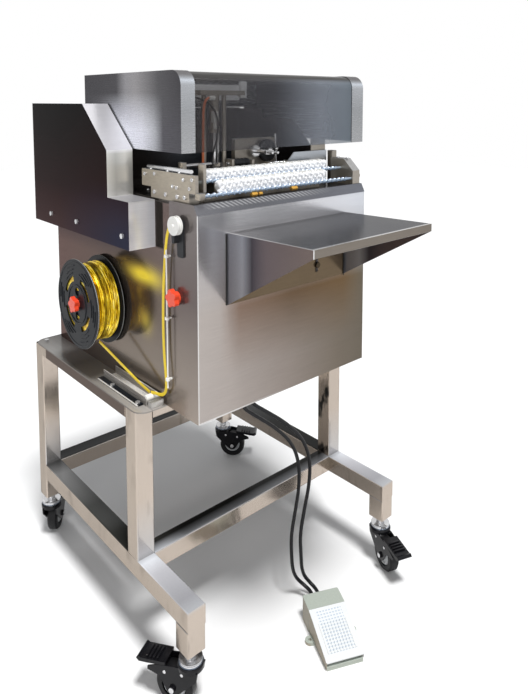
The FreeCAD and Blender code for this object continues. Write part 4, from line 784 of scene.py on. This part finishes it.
def winding():
    """Ribbon wound in uneven layers: a profile of small humps, spun round the reel."""
    mesh = bpy.data.meshes.new("tie_layers")
    humps = 26
    core, outside = 29, 84.6
    profile = [(-4.4, core)]
    for step in range(humps + 1):
        x = -4.2 + 55.0 * step / humps
        hump = 0.9 if step % 2 else -0.6
        profile.append((x, outside + 1.5 * math.sin(step * 2.1) * math.sin(step * 0.7 + 1) + hump))
    profile.append((51, core))
    points = [at(x, REEL.y, REEL.z + reach) for x, reach in profile]
    mesh.from_pydata(points, [(i, i + 1) for i in range(len(points) - 1)], [])
    piece = bpy.data.objects.new("tie_layers", mesh)
    bpy.context.scene.collection.objects.link(piece)
    pick(piece, lambda spot, way: True, "EDGE")
    middle = at(0, REEL.y, REEL.z)
    bpy.ops.mesh.spin(steps=96, angle=2 * math.pi, center=middle, axis=(1, 0, 0))
    leave()
    mend(piece)
    for vertex in piece.data.vertices:
        away = Vector((0, vertex.co.y - middle.y, vertex.co.z - middle.z))
        turn = math.atan2(away.z, away.y)
        if away.length > 0.05:
            wave = math.sin(turn * 3 + vertex.co.x * 160) + math.sin(turn * 7 - vertex.co.x * 90) * 0.6
            vertex.co += away.normalized() * 0.00045 * wave
    return done(piece, gold, "reel", instead=["tie_winding"])


winding()


RIBBON_WIDTH = 6.6
RIBBON_THICK = 1.6


def ribbon(name, points):
    piece = nurbs(name, [at(*spot) for spot in points], RIBBON_THICK / 2, yellow_tie)
    piece.data.extrude = (RIBBON_WIDTH - RIBBON_THICK) / 2000
    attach(piece, "frame")


ribbon("ribbon_to_roller", [(24, 190, 594), (29, 140, 577), (34, 90, 560), (39, 40, 543), (42, 14, 536.5)])
ribbon("ribbon_at_roller", [(43, 10, 537), (46, 2, 538), (50, -10, 537), (53, -20, 540), (53, -31, 553),
                            (53, -30, 583), (53, -24, 622), (53, -22, 672), (53, -23, 732), (53, -28, 793),
                            (53, -36, 847), (52, -44, 870), (51, -55, 887)])


# Reel: rims, raised arcs on its outer flange, and beads round its hub and near its edge.


def arc(name, radius, thick, turn, sweep, x):
    """A raised bead that follows part of a circle on the flange."""
    bead = start(bpy.ops.mesh.primitive_circle_add, name, vertices=8, radius=thick / 1000, fill_type="NGON",
                 location=at(x, REEL.y + radius, REEL.z))
    pick(bead, lambda spot, way: True)
    bpy.ops.mesh.spin(steps=max(4, int(sweep / 6)), angle=math.radians(sweep), center=at(x, REEL.y, REEL.z),
                      axis=(1, 0, 0))
    leave()
    mend(bead)
    axis = at(0, REEL.y, REEL.z)
    bead.data.transform(Matrix.Translation(axis) @ Matrix.Rotation(math.radians(turn), 4, "X")
                        @ Matrix.Translation(-axis))
    return bead


beads = []
for sector in range(6):
    for step, radius in enumerate((68, 76, 84)):
        turn = sector * 60 + 12 + step * 5
        beads.append(arc(f"bead_{sector}_{step}", radius, 1.1, turn, 32 - step * 4, -7.6))
beads.append(ring("hub_bead", "x", (-7.4, REEL.y, REEL.z), 42, 1.4))
beads.append(ring("rim_bead", "x", (-6.6, REEL.y, REEL.z), 92, 1.6))
done(joined("reel_beads", beads), black_plastic, "reel")
# Grey rims on the black flanges' edges: a painted highlight.
rims = [ring(f"rim_{x}", "x", (x, REEL.y, REEL.z), 97.0, 1.3) for x in (-5.9, 52.5)]
done(joined("reel_rims", rims), rim_highlight_grey, "reel")


# Tape channel: a black strip beside it, painted shadow of the channel, and the knurled foot at its end.

strip = block("channel_shadow_strip", (15.5, 13, TABLE), (26.7, 182, 518))
done(strip, black_plastic, edge=0.5)
foot = block("knurled_foot", (28, -14, TABLE), (57, -1, 527.5))
done(foot, knurled, edge=1.0)


# Feed and tying mechanism: screws, blocks, shafts, a return spring, a coupling and brass nuts.


def screw_head(name, along, spot, radius=3.6, height=3.2, away=-1):
    """A round head with a hexagon socket, standing out from its seat."""
    way = Vector([axis == along for axis in "xyz"]) * away
    spot = Vector(spot)
    low = spot + way * height if away < 0 else spot
    head = bar(name, along, low, radius, height, 24)
    outer = at(*(spot + way * height))
    pick(head, lambda centre, normal: (centre - outer).length < 0.0002 and normal.dot(way) > 0.9)
    bpy.ops.mesh.inset(thickness=radius * 0.45 / 1000)
    push(way * -height * 0.5 / 1000)
    leave()
    return head


PLATE_SCREWS = ((56, 972), (-44, 956), (-58, 955), (-100, 957), (-108, 974), (20, 975), (-80, 972))
FOOT_SCREWS = ((20, 939), (-20, 938), (-60, 938), (-84, 939))
BEARING_SCREWS = ((330, 948), (350, 960), (300, 960), (280, 960), (384, 960))
TOP_SCREWS = ((70, -60, 982), (70, -20, 982), (70, 40, 982), (515, -90, 985), (515, -62, 985),
              (160, -20, DECK), (450, -10, DECK), (480, 60, DECK), (110, 120, DECK))

heads = [screw_head(f"plate_screw_{y}", "x", (SIDE_PLATE, y, z)) for y, z in PLATE_SCREWS]
heads += [screw_head(f"foot_screw_{y}", "x", (SIDE_PLATE, y, z), 4.2, 3.5) for y, z in FOOT_SCREWS]
heads += [screw_head(f"bearing_screw_{x}", "y", (x, 26, z), 3.2, 3) for x, z in BEARING_SCREWS]
heads += [screw_head(f"top_screw_{x}_{y}", "z", (x, y, z), 3.4, 3, 1) for x, y, z in TOP_SCREWS]
done(joined("mechanism_screws", heads), bright_steel, edge=0.3)

blocks = [
    block("upright", (99, -96, DECK), (106, -79, 999)),
    block("end_stop", (66, -128, 938), (80, -114, 950)),
    block("lower_rail", (88, -94, DECK), (128, -82, 940)),
    block("slide_block", (78, 44, 950), (96, 68, 974)),
    block("right_upright", (512, -46, DECK), (527, -30, 1001)),
    block("small_plate", (452, -34, 990), (500, -31, 1031)),
    block("bracket_left", (120, 2, DECK), (129, 20, 994)),
    block("pillow_a", (240, -6, DECK), (247, 16, 994)),
    block("pillow_b", (296, -6, DECK), (304, 16, 990)),
    block("spring_post_a", (344, -8, DECK), (349, 7, 982)),
    block("spring_post_b", (402, -8, DECK), (407, 7, 982)),
]
done(joined("mechanism_blocks", blocks), machined, edge=0.8)

shafts = [
    bar("link_bar", "y", (72, -96, 987), 4.2, 150, 20),
    bar("left_rod", "x", (124, 10, 986), 4, 72, 20),
    bar("stud", "z", (400, 32, DECK), 3.4, 116, 20),
    bar("stud_nut", "z", (400, 32, 1003), 8, 7, 6),
    bar("twister_shaft", "x", (236, 5, 984), 3.6, 74, 20),
    bar("gear_nut", "y", (362.3, 6, 1006), 7, 5, 6),
]
done(joined("mechanism_shafts", shafts), bright_steel, edge=0.3)
done(coil("return_spring", (349, -1, 976), 5.5, 1.1, 3.6, 53), bright_steel)
coupling = [bar("coupling_body", "x", (250, 5, 984), 9.5, 42, 28)]
coupling += [ring(f"groove_{step}", "x", (256 + step * 10, 5, 984), 9.3, 1.0, 28, 8) for step in range(4)]
done(joined("shaft_coupling", coupling), dark_steel, edge=0.4)

brass_nuts = [
    bar("brass_nut_a", "x", (203, -112, 934), 5, 14, 6),
    bar("brass_nut_b", "x", (222, -112, 934), 4, 9, 6),
    bar("brass_nut_c", "x", (312, -112, 936), 5, 16, 6),
    bar("brass_bush", "x", (352, 8, 968), 4, 22, 20),
]
done(joined("brass_parts", brass_nuts), brass, edge=0.4)


# Feed belts: rows of white lumps that cover each belt's front and top.

LUMP_RADIUS = 6.4
LUMP_PITCH = 9
LUMP_ROWS = ((7, 4.6, 5.2), (7, -2.4, 6.0), (7, -8.6, 5.2), (4, 5.8, -1.0), (4, 5.4, -5.0))


def grippers(name, left, right, y, z):
    """Rows of lumps along a belt. A row has its reach past the sprockets, its height and its way out."""
    pieces = []
    for row, (reach, height, out) in enumerate(LUMP_ROWS):
        first, last = left - reach + row % 2 * 4.5, right + reach
        bead = start(bpy.ops.mesh.primitive_ico_sphere_add, f"{name}_{row}", subdivisions=3,
                     radius=LUMP_RADIUS / 1000, location=at(first, y - out, z + height))
        apply(bead, "ARRAY", count=int((last - first) / LUMP_PITCH) + 1, use_relative_offset=False,
              use_constant_offset=True, constant_offset_displace=(LUMP_PITCH / 1000, 0, 0))
        pieces.append(bead)
    piece = joined(name, pieces)
    for vertex in piece.data.vertices:
        x, height = vertex.co.x, vertex.co.z
        vertex.co.z += 0.0009 * math.sin(x * 230 + height * 300)
        vertex.co.y += 0.0010 * math.sin(x * 390 + height * 500)
    return piece


grips = []
for belt in ("front", "rear"):
    left = middle_of(f"{belt}_sprocket_left")
    right = middle_of(f"{belt}_sprocket_right")
    grips.append(grippers(f"{belt}_grip", left.x, right.x, left.y, left.z))
done(joined("belt_grippers", grips), gripper_white)


# Inside the hood: the plate at the far end, the closed rear corner, a cross beam and bright posts.

PLATE = [(322, DECK), (322, 1097), (226, 1097), (218, 1072), (107, 1073), (54, 1020), (36, 998), (26, 990),
         (26, DECK)]


def far_plate():
    mesh = bpy.data.meshes.new("far_side_plate")
    mesh.from_pydata([at(528, y, z) for y, z in PLATE], [], [list(range(len(PLATE)))])
    piece = bpy.data.objects.new("far_side_plate", mesh)
    bpy.context.scene.collection.objects.link(piece)
    pick(piece, lambda spot, way: True)
    push((0.003, 0, 0))
    leave()
    return mend(piece)


done(far_plate(), rear_steel, edge=0.4)
corner = [
    block("rear_corner", (537, 308.5, 1023), (583, 310.5, 1108)),
    block("rear_gap", (66, 308.5, 1101.5), (583, 310.5, 1111)),
]
done(joined("hood_rear_corner", corner), rear_steel, "hood")
posts = [bar("post_a", "z", (252, 58, DECK), 3, 192, 20), bar("post_b", "z", (270, 62, DECK), 4.5, 192, 20)]
done(joined("bright_posts", posts), bright_steel, edge=0.4)
# The cross beam takes the pale gripper white so that it shows bright under the hood: a painted highlight.
beam = [
    block("cross_beam", (150, 60, 1119), (316, 63, 1153)),
    block("beam_end", (318, 56, 1124), (334, 66, 1162)),
]
done(joined("cross_beam", beam), gripper_white, edge=0.8)


# On the cabinet: the turning pulley's cap, and black blocks of painted shade in the gaps beside the tray and
# in the slits under it.

done(bar("pulley_bolt", "x", (40.5, -75, 887), 4, 4, 20), white_plastic, edge=1.0)
gaps = [
    block("gap_left", (126.6, -128.6, 731), (129.2, -127.1, 868)),
    block("gap_right", (464.9, -128.6, 731), (467.4, -127.1, 868)),
    block("slit_left", (370.9, -130.2, 751), (373.1, -129.2, 782)),
    block("slit_right", (458.9, -130.2, 728), (461.1, -129.2, 780)),
]
done(joined("tray_gaps", gaps), deep_black)


# Casters: ball races, rivets, bright hubs and ridged brake pads.
# Each caster's stem stands at x and y and its fork heads away at an angle, in degrees.
CASTERS = {"front_left": (20, -152, 118), "front_right": (580, -152, -110),
           "rear_left": (20, 468, 50), "rear_right": (580, 468, -45)}
TRAIL = 30
AXLE = 37.5
RIVETS = ((10, 71), (46, 66))


def caster_piece(name, place, pieces, material, body, edge=0.0):
    """Pieces made as if the caster stood on the stand's corner and headed along x, moved to its place."""
    x, y, heading = CASTERS[place]
    piece = joined(f"{name}_{place}", pieces)
    piece.data.transform(Matrix.Translation(at(x, y, 0)) @ Matrix.Rotation(math.radians(heading), 4, "Z")
                         @ Matrix.Translation(-at(0, 0, 0)))
    return done(piece, material, body, edge=edge)


for place in PLACES:
    races = [ring("race_low", "z", (0, 0, 91), 21.2, 1.7, 40, 8),
             ring("race_high", "z", (0, 0, 95.4), 20.6, 1.6, 40, 8)]
    caster_piece("caster_races", place, races, race_steel, "frame")
    stem = [bar("washer", "z", (0, 0, 97.4), 10, 2.4, 32), bar("stem", "z", (0, 0, 99), 8.5, 8, 24)]
    caster_piece("caster_washer", place, stem, bright_steel, "frame", 0.5)
    rivets = []
    hubs = []
    for side in (-1, 1):
        for along, height in RIVETS:
            spot = (along, side * 17.4, height)
            rivets.append(bar(f"rivet_{side}_{along}", "y", spot, 3.2, 2.6, 14, True))
        rivets.append(bar(f"axle_cap_{side}", "y", (TRAIL, side * 21.6, AXLE), 5.2, 2.4, 20, True))
        hubs.append(ring(f"hub_ring_{side}", "y", (TRAIL, side * 9.6, AXLE), 19.5, 2.3, 40, 8))
        hubs.append(bar(f"hub_plate_{side}", "y", (TRAIL, side * 8.6, AXLE), 23, 1.0, 40, True))
    caster_piece("caster_rivets", place, rivets, bright_steel, f"fork_{place}", 0.5)
    caster_piece("caster_hub", place, hubs, hub_grey, f"wheel_{place}")
    ridges = []
    for step in range(4):
        near, low = 60 + step * 7.5, 84.6 - step * 0.9
        ridges.append(block(f"pad_ridge_{step}", (near, -15, low), (near + 3.5, 15, low + 2.6)))
    caster_piece("caster_pad", place, ridges, caster_black, f"brake_{place}", 0.7)


# Air line, cable and fittings at the press cylinder.

AIR_ROUTE = ((183, 20, 928), (183, 20, 990), (184, 20, 1060), (186, 21, 1110), (198, 21, 1127),
             (214, 21, 1124))
CABLE_ROUTE = ((150, 60, 1134), (182, 26, 1124), (206, 14, 1106), (216, 10, 1080), (214, 10, 1040),
               (200, 14, 1000), (196, 16, 928))

air_line = nurbs("orange_air_line", [at(*spot) for spot in AIR_ROUTE], 2.8, orange_tube)
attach(air_line, "frame")
cable = nurbs("press_cable", [at(*spot) for spot in CABLE_ROUTE], 2.0, hose_black)
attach(cable, "frame")
fittings = [
    bar("fitting_top", "x", (200, 21, 1124), 5, 15, 20),
    block("fitting_body", (208, 14, 1072), (220, 24, 1096)),
    bar("fitting_elbow", "z", (214, 17, 1058), 4.2, 14, 20),
    block("beam_fitting", (286, 18, 1126), (298, 30, 1130)),
]
done(joined("white_fittings", fittings), white_plastic, edge=0.8)


# Floor, light and background.


def flat_card(name, corners, colour):
    mesh = bpy.data.meshes.new(name)
    mesh.from_pydata(corners, [], [tuple(range(len(corners)))])
    card = bpy.data.objects.new(name, mesh)
    bpy.context.scene.collection.objects.link(card)
    mesh.materials.append(colour)


def seen(tree):
    """1 for what the camera sees, straight or in metal and glass."""
    path = tree.nodes.new("ShaderNodeLightPath")
    either = path.outputs["Is Camera Ray"]
    for title in ("Is Glossy Ray", "Is Transmission Ray"):
        larger = tree.nodes.new("ShaderNodeMath")
        larger.operation = "MAXIMUM"
        tree.links.new(either, larger.inputs[0])
        tree.links.new(path.outputs[title], larger.inputs[1])
        either = larger.outputs[0]
    return either


FLOOR_LIFT = 0.01
pale_floor = Paint("pale_floor", Roughness=0.9, Emission_Strength=FLOOR_LIFT)
speck = pale_floor.noise(3.0, 2.0)
pale_floor.put(Base_Color=pale_floor.blend(speck.clamp(), (0.88, 0.88, 0.88), (0.9, 0.9, 0.9)),
               Emission_Color=Shade(pale_floor, seen(pale_floor.tree)))
flat_card("floor", [(-9, -9, 0), (9, -9, 0), (9, 9, 0), (-9, 9, 0)], pale_floor.material)

world = bpy.data.worlds.new("studio")
bpy.context.scene.world = world
world.use_nodes = True
sky = world.node_tree
ground = sky.nodes["Background"]
ground.inputs["Color"].default_value = (0.95, 0.97, 1.0, 1)
ground.inputs["Strength"].default_value = 0.24
white = sky.nodes.new("ShaderNodeBackground")
white.inputs["Color"].default_value = (1, 1, 1, 1)
choice = sky.nodes.new("ShaderNodeMixShader")
sky.links.new(seen(sky), choice.inputs[0])
sky.links.new(ground.outputs[0], choice.inputs[1])
sky.links.new(white.outputs[0], choice.inputs[2])
sky.links.new(choice.outputs[0], sky.nodes["World Output"].inputs[0])


def soft_lamp(name, spot, aim, width, power):
    lamp = bpy.data.lights.new(name, "AREA")
    lamp.shape = "RECTANGLE"
    lamp.size, lamp.size_y = width
    lamp.energy = power
    holder = bpy.data.objects.new(name, lamp)
    holder.location = spot
    holder.rotation_euler = (Vector(aim) - Vector(spot)).to_track_quat("-Z", "Y").to_euler()
    bpy.context.scene.collection.objects.link(holder)


daylight = bpy.data.lights.new("daylight", "SUN")
daylight.energy = 3.2
daylight.angle = math.radians(12)
window = bpy.data.objects.new("daylight", daylight)
window.rotation_euler = Vector((-0.1, -0.34, 1.0)).to_track_quat("Z", "Y").to_euler()
bpy.context.scene.collection.objects.link(window)
soft_lamp("fill", (-2.6, -2.2, 1.7), (0, 0, 0.6), (1.6, 1.6), 25)
soft_lamp("back", (0.3, 2.6, 2.6), (0, 0, 0.8), (2.0, 1.0), 10)
